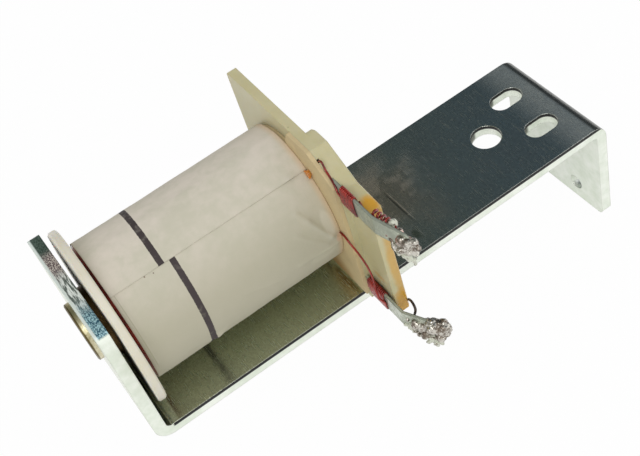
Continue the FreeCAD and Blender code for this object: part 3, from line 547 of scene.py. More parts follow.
def nylon_material(bobbin):
    """Yellowed nylon with scorched patches beside both lugs."""
    finish = Finish("nylon", 90.0, 700.0, (0.34, 0.5))
    terminal = finish.fade(finish.x, -78, -46)
    base = finish.mix(terminal, bobbin.nylon_pale, bobbin.nylon)
    base = finish.over(base, tone(208, 200, 168), finish.mottle, 0.35)
    for centre, reach, strength in BURNS:
        burnt = finish.spot(centre, reach, 0.5, 0.5, 420.0)
        base = finish.over(base, bobbin.burn, burnt, strength)
    base = finish.over(base, tone(96, 86, 60), finish.specked(420.0, 0.03, 0.16), 0.7)
    worn = finish.worn(0.3)["Normal"]
    return finish.show(Base_Color=base, Subsurface_Weight=0.25,
                       Subsurface_Radius=(1.0, 0.7, 0.35), Subsurface_Scale=1.2 * MM,
                       Normal=finish.bump(finish.grain(420.0), 0.06 * MM, 0.5, Normal=worn))


def board_material(name, base_colour, roughness):
    """Matt board or sheet with a fine fibre, with an amber painted shadow at the flange's lower
    corner, just above the strip.
    """
    finish = Finish(name, 110.0, 900.0, roughness)
    base = finish.mix(finish.mottle, shaded(base_colour, 0.93), shaded(base_colour, 1.07))
    # Painted shadow: an amber patch low on the flange's front, next to the strip
    amber_shadow = finish.spot((-42, -8, 4), (4, 7, 7), 0.9, 0.3, 200.0)
    base = finish.over(base, tone(140, 94, 26), amber_shadow, 0.85)
    base = finish.over(base, tone(110, 92, 58), finish.specked(900.0, 0.03, 0.2), 0.4)
    fibre = finish.grain(2400.0, detail=5.0)
    worn = finish.worn(0.2)["Normal"]
    return finish.show(Base_Color=base, Normal=finish.bump(fibre, 0.04 * MM, 0.5, Normal=worn))


def two_tone_material(finish, first, second, **shown):
    """A material of two colours by its mottling, with more of the shader's values."""
    return finish.show(Base_Color=finish.mix(finish.mottle, first, second), **shown)


def enamel_material(wire):
    """Red-brown enamel with the copper showing through."""
    return two_tone_material(Finish("enamelled_wire", 300.0, 1600.0, 0.22, 0.45),
                             wire.enamel_dark, wire.enamel, Coat_Weight=0.5,
                             Coat_Roughness=0.06)


def stub_material(wire):
    """Bare copper wire, dulled dark."""
    return two_tone_material(Finish("bare_wire", 500.0, 2500.0, (0.3, 0.5), 0.8),
                             wire.stub, shaded(wire.stub, 1.8))


def varnish_material(lug):
    """Amber varnish that light sinks into."""
    return two_tone_material(Finish("varnish", 700.0, 2600.0, 0.16), lug.varnish,
                             shaded(lug.varnish, 0.7), Subsurface_Weight=0.4,
                             Subsurface_Radius=(1.0, 0.45, 0.12),
                             Subsurface_Scale=0.8 * MM)


# Patches of the paper in millimetres: centre, reach each way, colour and strength. The first,
# second and fourth are painted light and painted shade on the folds by the guard end; the rest
# are tints.

PAPER_TINTS_AND_FOLD_SHADING = [
    # painted light on the lit side of the folds
    ((-43.4, -13.6, 24.0), (1.3, 1.6, 4.6), (228, 222, 208), 0.25),
    # painted shade on the folds
    ((-47.0, -12.8, 27.6), (1.6, 1.6, 3.4), (184, 178, 156), 0.5),
    ((-42.2, -14.2, 19.6), (1.0, 1.0, 1.3), (200, 156, 126), 0.5),
    # painted shade on the folds
    ((-46.0, -13.9, 17.5), (3.4, 1.6, 2.0), (190, 188, 166), 0.5),
    ((-75.1, -8.1, 32.2), (0.22, 0.3, 0.2), (110, 92, 72), 0.8),
    ((-73.5, -8.3, 32.0), (0.18, 0.25, 0.16), (96, 78, 66), 0.8),
]


def paper_material(paper):
    """Wrapper paper with its plain stripe, on the sheet's own map, with painted shade: darker
    towards the bottom, at its end by the guard, along the crease by its left edge and on the
    folds.
    """
    finish = Finish("paper", 60.0, 500.0, roughness=0.72)
    sheet = finish.split(finish.add("ShaderNodeUVMap", uv_map="sheet").outputs[0])
    turns, along = sheet[0], sheet[1]
    base = finish.mix(finish.mottle, paper.paper, paper.paper_worn)
    base = finish.over(base, tone(110, 100, 84), finish.specked(260.0, 0.03, 0.12), 0.45)
    # Painted shade: the paper is painted darker towards the bottom
    low = finish.fade(finish.z, 37.5, 23, 0.0, 0.9)
    base = finish.over(base, tone(174, 170, 148), low)
    for centre, reach, tint, strength in PAPER_TINTS_AND_FOLD_SHADING:
        tint_and_fold_shade = finish.spot(centre, reach, 0.4, 0.5, 300.0)
        base = finish.over(base, tone(*tint), tint_and_fold_shade, strength)
    # Painted shadow: a tan band at the paper's end against the guard
    amber_shadow = finish.fade(finish.x, -43.2, -41.8, 0.0, 0.5)
    base = finish.over(base, tone(206, 172, 128), amber_shadow)
    # Painted shade: a dark line along the crease near the paper's left edge
    crease = finish.remap(finish.apart(along, 0.036), 0.005, 0.001)
    base = finish.over(base, tone(142, 142, 112), crease, finish.remap(turns, 0.2, 0.17), 0.5)
    drift = finish.times(turns, paper.stripe_drift / MAP_WIDTH)
    off = finish.apart(along, finish.minus(paper.stripe_place / MAP_WIDTH, drift))
    ragged = finish.times(finish.minus(finish.grain(2600.0), 0.5), 0.01)
    half = paper.stripe_width / MAP_WIDTH / 2
    ink = finish.remap(finish.plus(off, ragged), half + 0.002, half - 0.002)
    faded = finish.remap(finish.grain(900.0), 0.25, 0.5, 0.8, 0.97)
    grain = finish.plus(finish.grain(1600.0, detail=5.0), finish.times(finish.grain(180.0), 1.5))
    return finish.show(Base_Color=finish.over(base, paper.stripe, ink, faded),
                       Normal=finish.bump(grain, 0.04 * MM, 0.6))


def brass_material(lug):
    """Dull tinned brass with dark green painted shadow along its edges."""
    finish = Finish("tinned_brass", 350.0, 1700.0, (0.3, 0.6), metallic=0.6)
    worn = finish.worn(0.35)
    base = finish.mix(finish.mottle, lug.brass, shaded(lug.brass, 0.7))
    # Painted shadow: dark green along the lug's edges
    base = finish.over(base, lug.brass_edge_shadow, worn["Mask"], 0.5)
    dents = finish.bump(finish.grain(1400.0), 0.08 * MM, 0.6, Normal=worn["Normal"])
    return finish.show(Base_Color=base, Normal=dents)


# Where flux and copper colour the solder, in millimetres: centre and reach each way

FLUX_PATCHES = [
    ((-38.9, -33.0, 29.2), (2.8, 3.4, 2.8)),
    ((-38.4, -32.4, 3.4), (2.8, 3.4, 2.6)),
    ((-40.2, -28.6, 5.6), (2.0, 2.6, 2.4)),
    ((-38.7, -29.9, 33.9), (1.5, 1.5, 1.5)),
]
COPPER_PATCHES = [
    ((-39.0, -32.2, 32.8), (1.6, 2.2, 1.5)),
    ((-39.4, -29.4, 32.0), (1.2, 1.6, 1.2)),
]


def solder_material(lug):
    """Grey crystalline solder, stained pink by copper, with pale flux low down."""
    finish = Finish("solder", 520.0, 2400.0, (0.24, 0.5))
    crystals = finish.cells(finish.place, 2600.0)
    tint = finish.split(crystals["Color"])[0]
    shade = finish.plus(finish.times(tint, 0.4), finish.times(finish.mottle, 0.8))
    base = finish.mix(finish.remap(shade, 0.25, 0.85), lug.solder, lug.solder_dark)
    copper, flux = [finish.most(*[finish.spot(*spot, 0.5, 0.9, 900.0) for spot in patches])
                    for patches in (COPPER_PATCHES, FLUX_PATCHES)]
    base = finish.over(base, lug.solder_pink, copper, 0.7)
    streaks = finish.remap(finish.grain(1100.0, distortion=1.5), 0.34, 0.5)
    fluxed = finish.times(flux, streaks)
    height = finish.plus(finish.grain(1500.0, detail=4.0),
                         finish.times(crystals["Distance"], 0.5))
    return finish.show(Base_Color=finish.over(base, lug.flux, fluxed),
                       Metallic=finish.minus(0.95, finish.times(fluxed, 0.9)),
                       Coat_Weight=0.2, Normal=finish.bump(height, 0.08 * MM, 0.6))


# Meshes

def new_object(name, data):
    made = bpy.data.objects.new(name, data)
    bpy.context.scene.collection.objects.link(made)
    return made


def coat(piece, material):
    """Give a piece one material in every slot."""
    if not piece.material_slots:
        piece.data.materials.append(material)
    for held in piece.material_slots:
        held.material = material


def dress(piece, material, replaced):
    """A finished piece's material, body and slot, and the carried node it replaces."""
    coat(piece, material)
    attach(piece, "coil")
    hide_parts(replaced)


def mesh_from(name, build, smooth=True):
    """A mesh filled by a function on a bmesh, with its faces turned outwards."""
    mesh = bpy.data.meshes.new(name)
    shape = bmesh.new()
    build(shape)
    bmesh.ops.recalc_face_normals(shape, faces=shape.faces)
    shape.to_mesh(mesh)
    shape.free()
    for face in mesh.polygons:
        face.use_smooth = smooth
    return mesh


def settled(piece):
    """The piece's evaluated mesh."""
    graph = bpy.context.evaluated_depsgraph_get()
    return bpy.data.meshes.new_from_object(piece.evaluated_get(graph))


def apply_modifiers(piece):
    made = settled(piece)
    piece.modifiers.clear()
    piece.data = made


def on_coil(x, radius, turn):
    """A point about the coil's axis: the angle runs from +Y towards +Z."""
    return Vector((x, radius * math.cos(turn), COIL_Z + radius * math.sin(turn)))


def tube_mesh(name, path, diameter):
    """A round tube along a path, closed at both ends."""
    curve = bpy.data.curves.new(name, "CURVE")
    curve.dimensions = "3D"
    spline = curve.splines.new("POLY")
    spline.points.add(len(path) - 1)
    for point, place in zip(spline.points, path):
        point.co = (*place, 1.0)
    curve.bevel_depth = diameter / 2
    curve.bevel_resolution = 2
    curve.use_fill_caps = True
    holder = new_object(name, curve)
    mesh = settled(holder)
    bpy.data.objects.remove(holder)
    for face in mesh.polygons:
        face.use_smooth = True
    return mesh


# Winding: real turns on a core, from a node tree

WIRE_SIDES = 8
TURN_STEPS = 38
CORE_SIDES = 96


def turns_tree(wire):
    """Helical turns of wire about the X axis, one helix for each outer layer.

    The outermost comes first. Each of the others starts half a wire before the one over it.
    """
    tree = bpy.data.node_groups.new("Wire turns", "GeometryNodeTree")
    face = tree.interface
    face.new_socket(name="Geometry", in_out="INPUT", socket_type="NodeSocketGeometry")
    for label in ("Wire", "Start", "Length", "Radius", "Height"):
        face.new_socket(name=label, in_out="INPUT", socket_type="NodeSocketFloat")
    face.new_socket(name="Finish", in_out="INPUT", socket_type="NodeSocketMaterial")
    face.new_socket(name="Geometry", in_out="OUTPUT", socket_type="NodeSocketGeometry")
    nodes = Nodes(tree)
    given = nodes.add("NodeGroupInput").outputs

    def step(kind, **values):
        return nodes.fill(nodes.add("GeometryNode" + kind), **values)[0]

    section = step("CurvePrimitiveCircle", Resolution=WIRE_SIDES,
                   Radius=nodes.times(given["Wire"], 0.49))
    gather = nodes.add("GeometryNodeJoinGeometry")
    nodes.feed(gather.inputs[0], given["Geometry"])
    for layer in range(wire.layers):
        set_back = nodes.times(given["Wire"], (wire.layers - layer) * 0.5)
        run = nodes.minus(given["Length"], nodes.times(set_back, 1.6))
        radius = nodes.minus(given["Radius"], nodes.times(given["Wire"], layer + 0.5))
        helix = step("CurveSpiral", Resolution=TURN_STEPS, Height=run, Start_Radius=radius,
                     End_Radius=radius, Rotations=nodes.math("DIVIDE", run, given["Wire"]))
        turned = Matrix.Rotation(0.4 * layer, 3, "X") @ Matrix.Rotation(math.pi / 2, 3, "Y")
        shift = nodes.joined(nodes.plus(given["Start"], set_back), 0.0, given["Height"])
        laid = step("Transform", Geometry=helix, Translation=shift,
                    Rotation=turned.to_euler())
        swept = step("CurveToMesh", Curve=laid, Profile_Curve=section, Fill_Caps=True)
        nodes.feed(gather.inputs[0], step("SetShadeSmooth", Geometry=swept))
    real = step("RealizeInstances", Geometry=gather.outputs[0])
    dressed = step("SetMaterial", Geometry=real, Material=given["Finish"])
    nodes.fill(nodes.add("NodeGroupOutput"), dressed)
    return tree


def core_mesh(wire):
    """What lies under the outer turns: a plain ring from the sheet to the third layer."""
    under = WINDING_RADIUS - (wire.layers - 0.4) * wire.diameter
    start, end = WINDING[0].x, WINDING[1].x

    def build(shape):
        loops = []
        for x, radius in ((start, SHEET_RADIUS), (start, under), (end, under),
                          (end, SHEET_RADIUS)):
            loops.append([shape.verts.new(on_coil(x, radius, 2 * math.pi * step / CORE_SIDES))
                          for step in range(CORE_SIDES)])
        for first, second in zip(loops, loops[1:] + loops[:1]):
            for step in range(CORE_SIDES):
                after = (step + 1) % CORE_SIDES
                shape.faces.new((first[step], first[after], second[after], second[step]))
    return mesh_from("core", build, False)


# Paper wrapper: one sheet once round and lapped. Its places are in millimetres and degrees

PAPER_GAP = 0.06
LIFTED_CORNER = -45.1
FLAP = (-69.2, 205)

# Where each crease starts and ends, along X and round the coil, with its depth and width

CREASES = [
    ((-47.6, 146.0), (-46.4, 156.0), 0.3, 0.4),
    ((-46.4, 156.0), (-43.6, 178.0), 0.5, 0.5),
    ((-43.6, 178.0), (-41.9, 186.0), 0.3, 0.4),
    ((-49.5, 160.0), (-44.6, 184.0), 0.16, 0.35),
    ((-50.8, 186.0), (-43.0, 189.0), 0.3, 0.5),
    ((-81.0, 128.0), (-81.0, 188.0), 0.2, 0.16),
    ((-62.0, 178.0), (-54.0, 190.0), 0.08, 0.4),
]


def crease_height(x, degrees):
    """Sum of the creases at a place: each is sharpest along its own line."""
    scale = math.radians(WINDING_RADIUS / MM)
    here = Vector((x, degrees * scale))
    total = 0.0
    for (x0, turn0), (x1, turn1), depth, width in CREASES:
        start, end = Vector((x0, turn0 * scale)), Vector((x1, turn1 * scale))
        run = end - start
        along = min(1.0, max(0.0, (here - start).dot(run) / run.length_squared))
        off = (here - start - run * along).length
        total += depth * math.exp(-off / width)
    return total


def paper_radius(paper, place, turn):
    """Radius of the sheet's middle at a place along X and an angle in radians."""
    x, degrees, thickness = place / MM, math.degrees(turn), paper.thickness / MM
    start = math.degrees(paper.seam - paper.lap)
    end = math.degrees(paper.seam) + 360
    radius = WINDING_RADIUS / MM + PAPER_GAP + thickness / 2
    over = min(1.0, max(0.0, (degrees - start - 352) / 8))
    radius += (thickness + 0.02) * over * over * (3 - 2 * over)
    lifted = min(1.0, max(0.0, (degrees - end + 7) / 7)) ** 2
    radius += 0.42 * lifted * math.exp(-((x - LIFTED_CORNER) / 1.3) ** 2)
    spot = Vector((x * 0.11, math.cos(turn) * 1.6, math.sin(turn) * 1.6))
    radius += 0.07 * (noise.noise(spot) + 0.3) + 0.05 * noise.noise(spot * 4)
    radius += crease_height(x, degrees)
    flap = math.exp(-((x - FLAP[0]) / 1.5) ** 2 - ((degrees - FLAP[1]) / 3.0) ** 2)
    return (radius + 0.6 * flap) * MM


def wrapper_sheet(paper):
    """Builds the sheet, with a map: turns round in U, and place across in V."""
    first = paper.seam - paper.lap
    total = 2 * math.pi + paper.lap
    left, right = PAPER[0].x, GUARD[0].x - 0.03 * MM

    def build(shape):
        sheet_map = shape.loops.layers.uv.new("sheet")
        spots = {}
        grid = []
        for i in range(paper.around + 1):
            turn = first + total * i / paper.around
            row = []
            for j in range(paper.across + 1):
                part = j / paper.across
                spread = (1 - math.cos(math.pi * part)) / 2 * 0.35 + part * 0.65
                edge = 0.1 * MM * noise.noise(Vector((math.cos(turn), math.sin(turn), part * 2)))
                x = left + (right - left) * spread + edge * max(0, 1 - 2 * part)
                vert = shape.verts.new(on_coil(x, paper_radius(paper, x, turn), turn))
                spots[vert] = ((turn - paper.seam) / (2 * math.pi), (x - left) / MAP_WIDTH)
                row.append(vert)
            grid.append(row)
        for low, high in zip(grid, grid[1:]):
            for j in range(paper.across):
                face = shape.faces.new((low[j], low[j + 1], high[j + 1], high[j]))
                for loop in face.loops:
                    loop[sheet_map].uv = spots[loop.vert]
    return mesh_from("wrapper_sheet", build)


# Solder: balls of many sizes along a lug, melted into one rough lump

def lug_frame(node, straight, turn):
    """A lug's bend, and the directions along and across its outer end."""
    low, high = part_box(node)
    along = Vector((math.sin(turn), -math.cos(turn), 0))
    across = Vector((math.cos(turn), math.sin(turn), 0))
    corner = Vector((LUG_MIDDLE, BOBBIN[0].y - straight, (low.z + high.z) / 2))
    return corner, along, across


def melted(name, balls, voxel):
    """Balls joined and remeshed into one smooth closed mesh."""
    def build(shape):
        for centre, radius in balls:
            bmesh.ops.create_icosphere(shape, subdivisions=3, radius=radius,
                                       matrix=Matrix.Translation(centre))
    holder = new_object(name, mesh_from(name, build))
    remesh = holder.modifiers.new("melt", "REMESH")
    remesh.mode = "VOXEL"
    remesh.voxel_size = voxel
    remesh.use_smooth_shade = True
    soften = holder.modifiers.new("soften", "SMOOTH")
    soften.iterations = 4
    soften.factor = 0.5
    made = settled(holder)
    bpy.data.objects.remove(holder)
    return made


# Lumps of solder in millimetres: past the lug's bend, across it, above its middle, radius

UPPER_LUMPS = [
    (6.4, -0.5, 0.9, 0.75), (7.4, -0.4, 0.7, 0.85), (8.5, 0.1, 1.0, 0.7), (5.5, -0.5, -0.1, 0.6),
    (7.0, -0.5, -0.6, 0.8), (9.2, 0.1, 0.0, 0.55), (5.4, -0.4, -2.2, 0.8), (5.0, -0.2, -3.2, 0.8),
    (3.2, 1.2, 1.2, 0.85), (2.5, 0.3, -0.7, 0.6), (3.4, 0.3, -1.4, 0.75), (4.8, 0.6, 0.6, 0.8),
    (5.8, -0.2, 0.2, 0.9), (6.7, 0.4, -0.3, 0.85), (8.1, 0.2, -0.4, 0.8), (9.1, 0.2, 0.5, 0.3),
    (4.3, -0.3, -2.3, 0.85), (6.2, -0.8, -1.2, 0.9), (4.4, 0.9, -4.0, 0.75),
    (7.2, -0.3, -1.6, 0.9), (5.9, 1.0, -3.6, 0.8), (8.2, 0.0, -1.8, 0.65),
    (6.5, -0.6, -2.9, 0.65), (6.8, -0.2, -3.8, 0.6), (7.1, 0.3, -4.7, 0.5), (7.4, 0.2, -5.4, 0.3),
]
LOWER_LUMPS = [
    (2.6, -0.3, 0.1, 1.0), (3.7, 0.2, -0.5, 1.3), (6.0, -0.4, 1.4, 1.5), (5.1, 0.9, -0.9, 1.5),
    (7.3, 0.2, 0.9, 1.6), (8.1, 0.3, 1.1, 1.1), (4.1, -0.5, -2.2, 0.9), (5.0, 0.2, -3.2, 1.0),
    (7.1, -0.2, -1.6, 1.0), (8.0, 0.3, -0.8, 0.7), (4.5, -0.4, -4.2, 0.5), (5.6, 0.1, -4.6, 0.65),
    (5.7, 0.1, -5.5, 0.35), (6.7, 0.2, -4.2, 0.5), (2.7, -0.3, -3.0, 0.6), (1.8, -0.4, -2.3, 0.5),
    (1.1, -0.3, -1.8, 0.5), (0.1, -0.3, -1.4, 0.45), (1.3, -0.5, -0.9, 0.55),
    (2.1, -0.6, -1.5, 0.55), (0.9, -0.3, 0.5, 0.4), (2.2, -0.4, 0.6, 0.6),
]
CRUMBS = 3
LUMP_VOXEL = 0.13 * MM
LUMP_GRAIN = 0.8 * MM
LUMP_DEPTH = 0.2 * MM
LUMP_MARGIN = Vector((0.8, 0.8, 0.8)) * MM
DROP_VOXEL = 0.06 * MM


def solder_balls(corner, along, across, lumps, seed):
    """A ball for each lump, with crumbs half sunk in its surface."""
    chance = random.Random(seed)
    balls = []
    for past, side, above, radius in lumps:
        centre = corner + (along * past + across * side + UP * above) * MM
        balls.append((centre, radius * MM))
        for crumb in range(CRUMBS):
            way = Vector([chance.gauss(0, 1) for axis in range(3)]).normalized()
            small = radius * chance.uniform(0.22, 0.5)
            balls.append((centre + way * radius * chance.uniform(0.7, 0.95) * MM, small * MM))
    return balls


def roughened(mesh, grain, depth):
    """Push a mesh's points in and out by a broad and a fine noise."""
    normals = [vert.normal.copy() for vert in mesh.vertices]
    for vert, normal in zip(mesh.vertices, normals):
        vert.co += normal * depth * noise.noise(vert.co / grain)
        vert.co += normal * depth * 0.5 * noise.noise(vert.co / grain * 2.7)


def inside_box(mesh, low, high):
    """Hold a mesh inside a box."""
    for vert in mesh.vertices:
        vert.co = Vector(min(max(value, floor), roof)
                         for value, floor, roof in zip(vert.co, low, high))


# Leads: the wires' routes over the flange and round the lugs, with points in millimetres

LEAD_STEPS = 16
PIGTAIL_STEPS = 9
PIGTAIL_TURNS = 4


def eased(points, steps=8):
    """A smooth path through all the points, given in millimetres."""
    points = [Vector(point) * MM for point in points]
    path = []
    ends = [2 * points[0] - points[1]] + points + [2 * points[-1] - points[-2]]
    for before, start, end, after in zip(ends, ends[1:], ends[2:], ends[3:]):
        for step in range(steps):
            t = step / steps
            path.append(0.5 * (2 * start + (end - before) * t
                               + (2 * before - 5 * start + 4 * end - after) * t * t
                               + (3 * start - before - 3 * end + after) * t ** 3))
    return path + [points[-1]]


def lug_turns(node, wire, first, turns, pitch, seed):
    """Close turns of wire round a lug from the first y, starting at the front's middle."""
    low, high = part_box(node)
    chance = random.Random(seed)
    reach = LUG_HALF + wire * 0.56
    half = (high.z - low.z) / 2 + wire * 0.5
    level = (high.z + low.z) / 2
    path = []
    for step in range(round(LEAD_STEPS * turns) + 1):
        turn = 2 * math.pi * step / LEAD_STEPS
        across, up = [math.copysign(abs(part) ** 0.6, part)
                      for part in (math.cos(turn), -math.sin(turn))]
        y = first - pitch * turn / (2 * math.pi) + chance.uniform(-0.04, 0.04) * MM
        path.append(Vector((LUG_MIDDLE - across * reach, y, level + up * half)))
    return path


def start_route(wire):
    """From behind the guard, over the slope, round the upper lug and on in a pigtail."""
    place = on_coil(0, SHEET_RADIUS + wire.diameter, math.radians(126.5)) / MM
    free = [(GUARD[0].x / MM, place.y, place.z), (-40.64, place.y, place.z),
            (-40.64, -12.1, 36.65), (-40.7, -13.8, 35.68), (-40.85, -15.35, 34.78),
            (-41.05, -16.5, 34.2), (-41.2, -17.1, 33.6), (-41.25, -17.5, 33.1)]
    turns = lug_turns("upper_lug", wire.diameter, -17.8 * MM, 9.5, wire.turn_pitch, 4)
    tail = [(-40.12, -22.4, 34.2), (-40.1, -23.4, 33.0), (-40.1, -24.5, 32.5)]
    for step in range(PIGTAIL_STEPS * PIGTAIL_TURNS + 1):
        spin = 2 * math.pi * step / PIGTAIL_STEPS
        part = step / PIGTAIL_STEPS / PIGTAIL_TURNS
        tail.append((-39.4 + 0.4 * part + 0.6 * math.cos(spin), -25.4 - 4.3 * part,
                     33.3 + 0.6 * part + 0.75 * math.sin(spin)))
    tail.append((-39.0, -31.2, 33.7))
    return eased(free) + turns + eased(tail, 4)


def finish_route(wire):
    """From the last layer, across the guard and round the lower lug."""
    turns = lug_turns("lower_lug", wire.diameter, -22.7 * MM, 12, -wire.turn_pitch, 9)
    free = [(-41.96, -14.4, 20.9), (-41.96, -15.8, 20.9), (-41.98, -17.1, 20.4),
            (-41.7, -18.7, 18.8), (-41.5, -20.0, 17.0), (-41.25, -20.5, 14.4),
            (-41.25, -20.85, 11.8), (-41.6, -21.3, 9.9), (-41.75, -22.2, 8.4)]
    return eased(free) + turns


def stub_route(lug, wire):
    """The bare wire end: from behind the flange, round in a loop and into the solder."""
    corner, along, across = lug_frame("lower_lug", lug.lower_straight, lug.lower_turn)
    loop = [(-37.05, -23.9, 5.6), (-37.2, -24.4, 6.2), (-37.6, -26.1, 7.7), (-37.9, -27.3, 8.05),
            (-38.1, -27.95, 7.7), (-38.4, -28.2, 7.25), (-38.7, -28.1, 6.6), (-39.1, -27.8, 6.0)]
    on_lug = corner + across * (0.31 * MM + wire / 2) - UP * 1.15 * MM
    ends = [(on_lug + along * past * MM) / MM for past in (0.8, 2.4)]
    return eased(loop + ends)


# Operators: the stage, then one for each piece or group of like pieces

class SOLENOID_OT_stage(bpy.types.Operator):
    """Make the camera, the floor, the lamps and the room's light"""
    bl_idname = "solenoid.stage"
    bl_label = "Stage"

    def execute(self, context):
        stage = context.scene.solenoid_stage
        context.scene.view_settings.view_transform = "Standard"
        self.make_camera(context, stage)
        self.make_floor(stage)
        self.make_room(context, stage)
        self.make_lamp("key_lamp", (-0.35, -0.42, 0.55), 0.5, stage.key_power)
        self.make_lamp("fill_lamp", (0.5, -0.35, 0.35), 0.6, stage.fill_power)
        return {"FINISHED"}

    def make_camera(self, context, stage):
        data = bpy.data.cameras.new("camera")
        data.lens = stage.camera_lens
        data.sensor_width = 36.0
        data.clip_start = 0.005
        camera = new_object("camera", data)
        camera.location = stage.camera_place
        camera.rotation_euler = stage.camera_turn
        context.scene.camera = camera

    def make_floor(self, stage):
        half = stage.floor_size / 2
        height = stage.floor_height
        mesh = bpy.data.meshes.new("floor")
        corners = [(x * half, y * half, height) for x, y in ((-1, -1), (1, -1), (1, 1), (-1, 1))]
        mesh.from_pydata(corners, [], [(0, 1, 2, 3)])
        floor = new_object("floor", mesh)
        material = bpy.data.materials.new("floor_paper")
        material.use_nodes = True
        material.node_tree.nodes.clear()
        nodes = Nodes(material.node_tree)
        rays = nodes.add("ShaderNodeLightPath").outputs
        glow = nodes.fill(nodes.add("ShaderNodeEmission"), stage.paper_white)[0]
        plain = nodes.fill(nodes.add("ShaderNodeBsdfDiffuse"), (0.82, 0.82, 0.82))[0]
        seen = nodes.most(rays["Is Glossy Ray"], rays["Is Transmission Ray"],
                          nodes.times(rays["Is Camera Ray"], 0.97))
        mixed = nodes.fill(nodes.add("ShaderNodeMixShader"), seen, plain, glow)[0]
        nodes.fill(nodes.add("ShaderNodeOutputMaterial"), Surface=mixed)
        coat(floor, material)

    def make_room(self, context, stage):
        world = bpy.data.worlds.new("room")
        context.scene.world = world
        world.use_nodes = True
        world.node_tree.nodes.clear()
        nodes = Nodes(world.node_tree)
        rays = nodes.add("ShaderNodeLightPath").outputs
        way = nodes.add("ShaderNodeTexCoord").outputs["Generated"]
        ways = nodes.split(way)
        dark = nodes.mix(nodes.remap(ways[0], 0.12, 0.42), stage.room_warm, stage.room_cool)
        behind = nodes.vector("DOT_PRODUCT", way, Vector((0.45, 0.6, 0.6)).normalized())
        behind = nodes.remap(behind, 0.45, 0.78)
        overhead = nodes.times(nodes.remap(ways[2], 0.2, 0.6), 0.6)
        mirrored = nodes.mix(nodes.most(behind, overhead), stage.paper_white, dark)
        even = [stage.room_light] * 3
        shown = nodes.mix(rays["Is Glossy Ray"], even, mirrored)
        clear = nodes.most(rays["Is Camera Ray"], rays["Is Transmission Ray"])
        shown = nodes.mix(clear, shown, stage.paper_white)
        back = nodes.fill(nodes.add("ShaderNodeBackground"), Color=shown)[0]
        nodes.fill(nodes.add("ShaderNodeOutputWorld"), Surface=back)

    def make_lamp(self, name, place, size, power):
        data = bpy.data.lights.new(name, "AREA")
        data.shape = "DISK"
        data.size = size
        data.energy = power
        lamp = new_object(name, data)
        lamp.location = place
        aim = LAMP_AIM - lamp.location
        lamp.rotation_euler = aim.to_track_quat("-Z", "Y").to_euler()


class SOLENOID_OT_strip(bpy.types.Operator):
    """Finish the bent strip in zinc and the core plug in turned steel"""
    bl_idname = "solenoid.strip"
    bl_label = "Strip and plug"

    def execute(self, context):
        strip = context.scene.solenoid_strip
        coat(NODES["bracket"], zinc_material(strip))
        coat(NODES["core_plug"], plug_material(strip))
        return {"FINISHED"}


class SOLENOID_OT_bobbin(bpy.types.Operator):
    """Finish the bobbin, its guard, the sleeve and the insulating sheet"""
    bl_idname = "solenoid.bobbin"
    bl_label = "Bobbin"

    def execute(self, context):
        bobbin = context.scene.solenoid_bobbin
        coat(NODES["bobbin"], nylon_material(bobbin))
        coat(NODES["lead_guard"], board_material("guard_board", bobbin.board, 0.62))
        coat(NODES["coil_sleeve"], board_material("sleeve_nylon", bobbin.sleeve, 0.4))
        coat(NODES["barrel_sheet"], board_material("insulating_sheet", bobbin.sheet, 0.5))
        return {"FINISHED"}


class SOLENOID_OT_winding(bpy.types.Operator):
    """Wind the outer layers turn by turn"""
    bl_idname = "solenoid.winding"
    bl_label = "Winding"

    def execute(self, context):
        wire = context.scene.solenoid_wire
        enamel = enamel_material(wire)
        piece = new_object("winding_turns", core_mesh(wire))
        turns = piece.modifiers.new("turns", "NODES")
        turns.node_group = turns_tree(wire)
        given = {"Wire": wire.diameter, "Start": WINDING[0].x,
                 "Length": WINDING[1].x - WINDING[0].x, "Radius": WINDING_RADIUS,
                 "Height": COIL_Z, "Finish": enamel}
        for item in turns.node_group.interface.items_tree:
            if item.in_out == "INPUT" and item.name in given:
                turns[item.identifier] = given[item.name]
        apply_modifiers(piece)
        dress(piece, enamel, "winding")
        return {"FINISHED"}


class SOLENOID_OT_wrapper(bpy.types.Operator):
    """Wrap the paper once round the winding, with its lap and its stripe"""
    bl_idname = "solenoid.wrapper"
    bl_label = "Paper wrapper"

    def execute(self, context):
        paper = context.scene.solenoid_paper
        piece = new_object("paper_wrapper", wrapper_sheet(paper))
        wall = piece.modifiers.new("wall", "SOLIDIFY")
        wall.thickness = paper.thickness
        wall.offset = 0.0
        apply_modifiers(piece)
        dress(piece, paper_material(paper), "wrapper")
        return {"FINISHED"}


class SOLENOID_OT_lugs(bpy.types.Operator):
    """Finish both lugs in dull tinned brass"""
    bl_idname = "solenoid.lugs"
    bl_label = "Lugs"

    def execute(self, context):
        brass = brass_material(context.scene.solenoid_lug)
        for name in ("upper_lug", "lower_lug"):
            coat(NODES[name], brass)
        return {"FINISHED"}


class SOLENOID_OT_leads(bpy.types.Operator):
    """Lead both wire ends over the flange and round the lugs"""
    bl_idname = "solenoid.leads"
    bl_label = "Leads"

    def execute(self, context):
        wire = context.scene.solenoid_wire
        enamel = bpy.data.objects["winding_turns"].material_slots[0].material
        for name, route in (("start_lead", start_route), ("finish_lead", finish_route)):
            mesh = tube_mesh(name + "_wire", route(wire), wire.diameter)
            dress(new_object(name + "_wire", mesh), enamel, name)
        return {"FINISHED"}


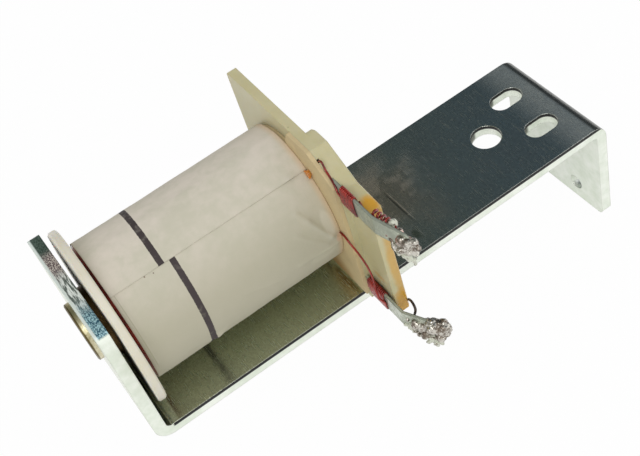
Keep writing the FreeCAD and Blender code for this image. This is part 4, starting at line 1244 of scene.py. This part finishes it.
class SOLENOID_OT_solder(bpy.types.Operator):
    """Melt the solder lumps on the ends of both lugs"""
    bl_idname = "solenoid.solder"
    bl_label = "Solder"

    def execute(self, context):
        lug = context.scene.solenoid_lug
        solder = solder_material(lug)
        for side, straight, turn, lumps, seed in (
                ("upper", lug.upper_straight, lug.upper_turn, UPPER_LUMPS, 3),
                ("lower", lug.lower_straight, lug.lower_turn, LOWER_LUMPS, 8)):
            name = side + "_solder"
            balls = solder_balls(*lug_frame(side + "_lug", straight, turn), lumps, seed)
            mesh = melted(name + "_lump", balls, LUMP_VOXEL)
            roughened(mesh, LUMP_GRAIN, LUMP_DEPTH)
            low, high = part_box(name)
            low = Vector(map(max, low - LUMP_MARGIN, CAD_BOX[0]))
            inside_box(mesh, low, high + LUMP_MARGIN)
            dress(new_object(name + "_lump", mesh), solder, name)
        return {"FINISHED"}


class SOLENOID_OT_stub(bpy.types.Operator):
    """Loop the bare end of the old hookup wire behind the lower lug"""
    bl_idname = "solenoid.stub"
    bl_label = "Wire stub"

    def execute(self, context):
        wire = context.scene.solenoid_wire
        route = stub_route(context.scene.solenoid_lug, wire.stub_diameter)
        piece = new_object("stub_wire", tube_mesh("stub_wire", route, wire.stub_diameter))
        dress(piece, stub_material(wire), "wire_stub")
        return {"FINISHED"}


class SOLENOID_OT_varnish(bpy.types.Operator):
    """Set the drop of varnish at the end of the paper's lap"""
    bl_idname = "solenoid.varnish"
    bl_label = "Varnish drop"

    def execute(self, context):
        low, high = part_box("varnish_drop")
        middle = (low + high) / 2
        radius = (high.z - low.z) / 2
        spots = [(Vector((0, 0, 0)), 0.86), (Vector((-0.5, 0.5, 0.3)), 0.55),
                 (Vector((-0.3, -0.6, -0.4)), 0.5)]
        balls = [(middle + place * radius, size * radius) for place, size in spots]
        mesh = melted("varnish_blob", balls, DROP_VOXEL)
        inside_box(mesh, low, high)
        varnish = varnish_material(context.scene.solenoid_lug)
        dress(new_object("varnish_blob", mesh), varnish, "varnish_drop")
        return {"FINISHED"}


STEPS = [SOLENOID_OT_stage, SOLENOID_OT_strip, SOLENOID_OT_bobbin, SOLENOID_OT_winding,
         SOLENOID_OT_wrapper, SOLENOID_OT_lugs, SOLENOID_OT_leads, SOLENOID_OT_solder,
         SOLENOID_OT_stub, SOLENOID_OT_varnish]


class SOLENOID_PT_build(bpy.types.Panel):
    """Lists the steps that dress the coil, and their settings"""
    bl_idname = "SOLENOID_PT_build"
    bl_label = "Solenoid coil"
    bl_space_type = "VIEW_3D"
    bl_region_type = "UI"
    bl_category = "Solenoid"

    def draw(self, context):
        for step in STEPS:
            self.layout.operator(step.bl_idname)
        for name in SETTINGS:
            held = getattr(context.scene, name)
            box = self.layout.box()
            for field in held.__annotations__:
                box.prop(held, field)


CLASSES = (*SETTINGS.values(), *STEPS, SOLENOID_PT_build)


def register():
    for item in CLASSES:
        bpy.utils.register_class(item)
    for name, group in SETTINGS.items():
        setattr(bpy.types.Scene, name, PointerProperty(type=group))


def unregister():
    for name in SETTINGS:
        delattr(bpy.types.Scene, name)
    for item in reversed(CLASSES):
        bpy.utils.unregister_class(item)


def main():
    register()
    for step in STEPS:
        getattr(bpy.ops.solenoid, step.bl_idname.split(".")[1])()


if __name__ == "__main__":
    main()
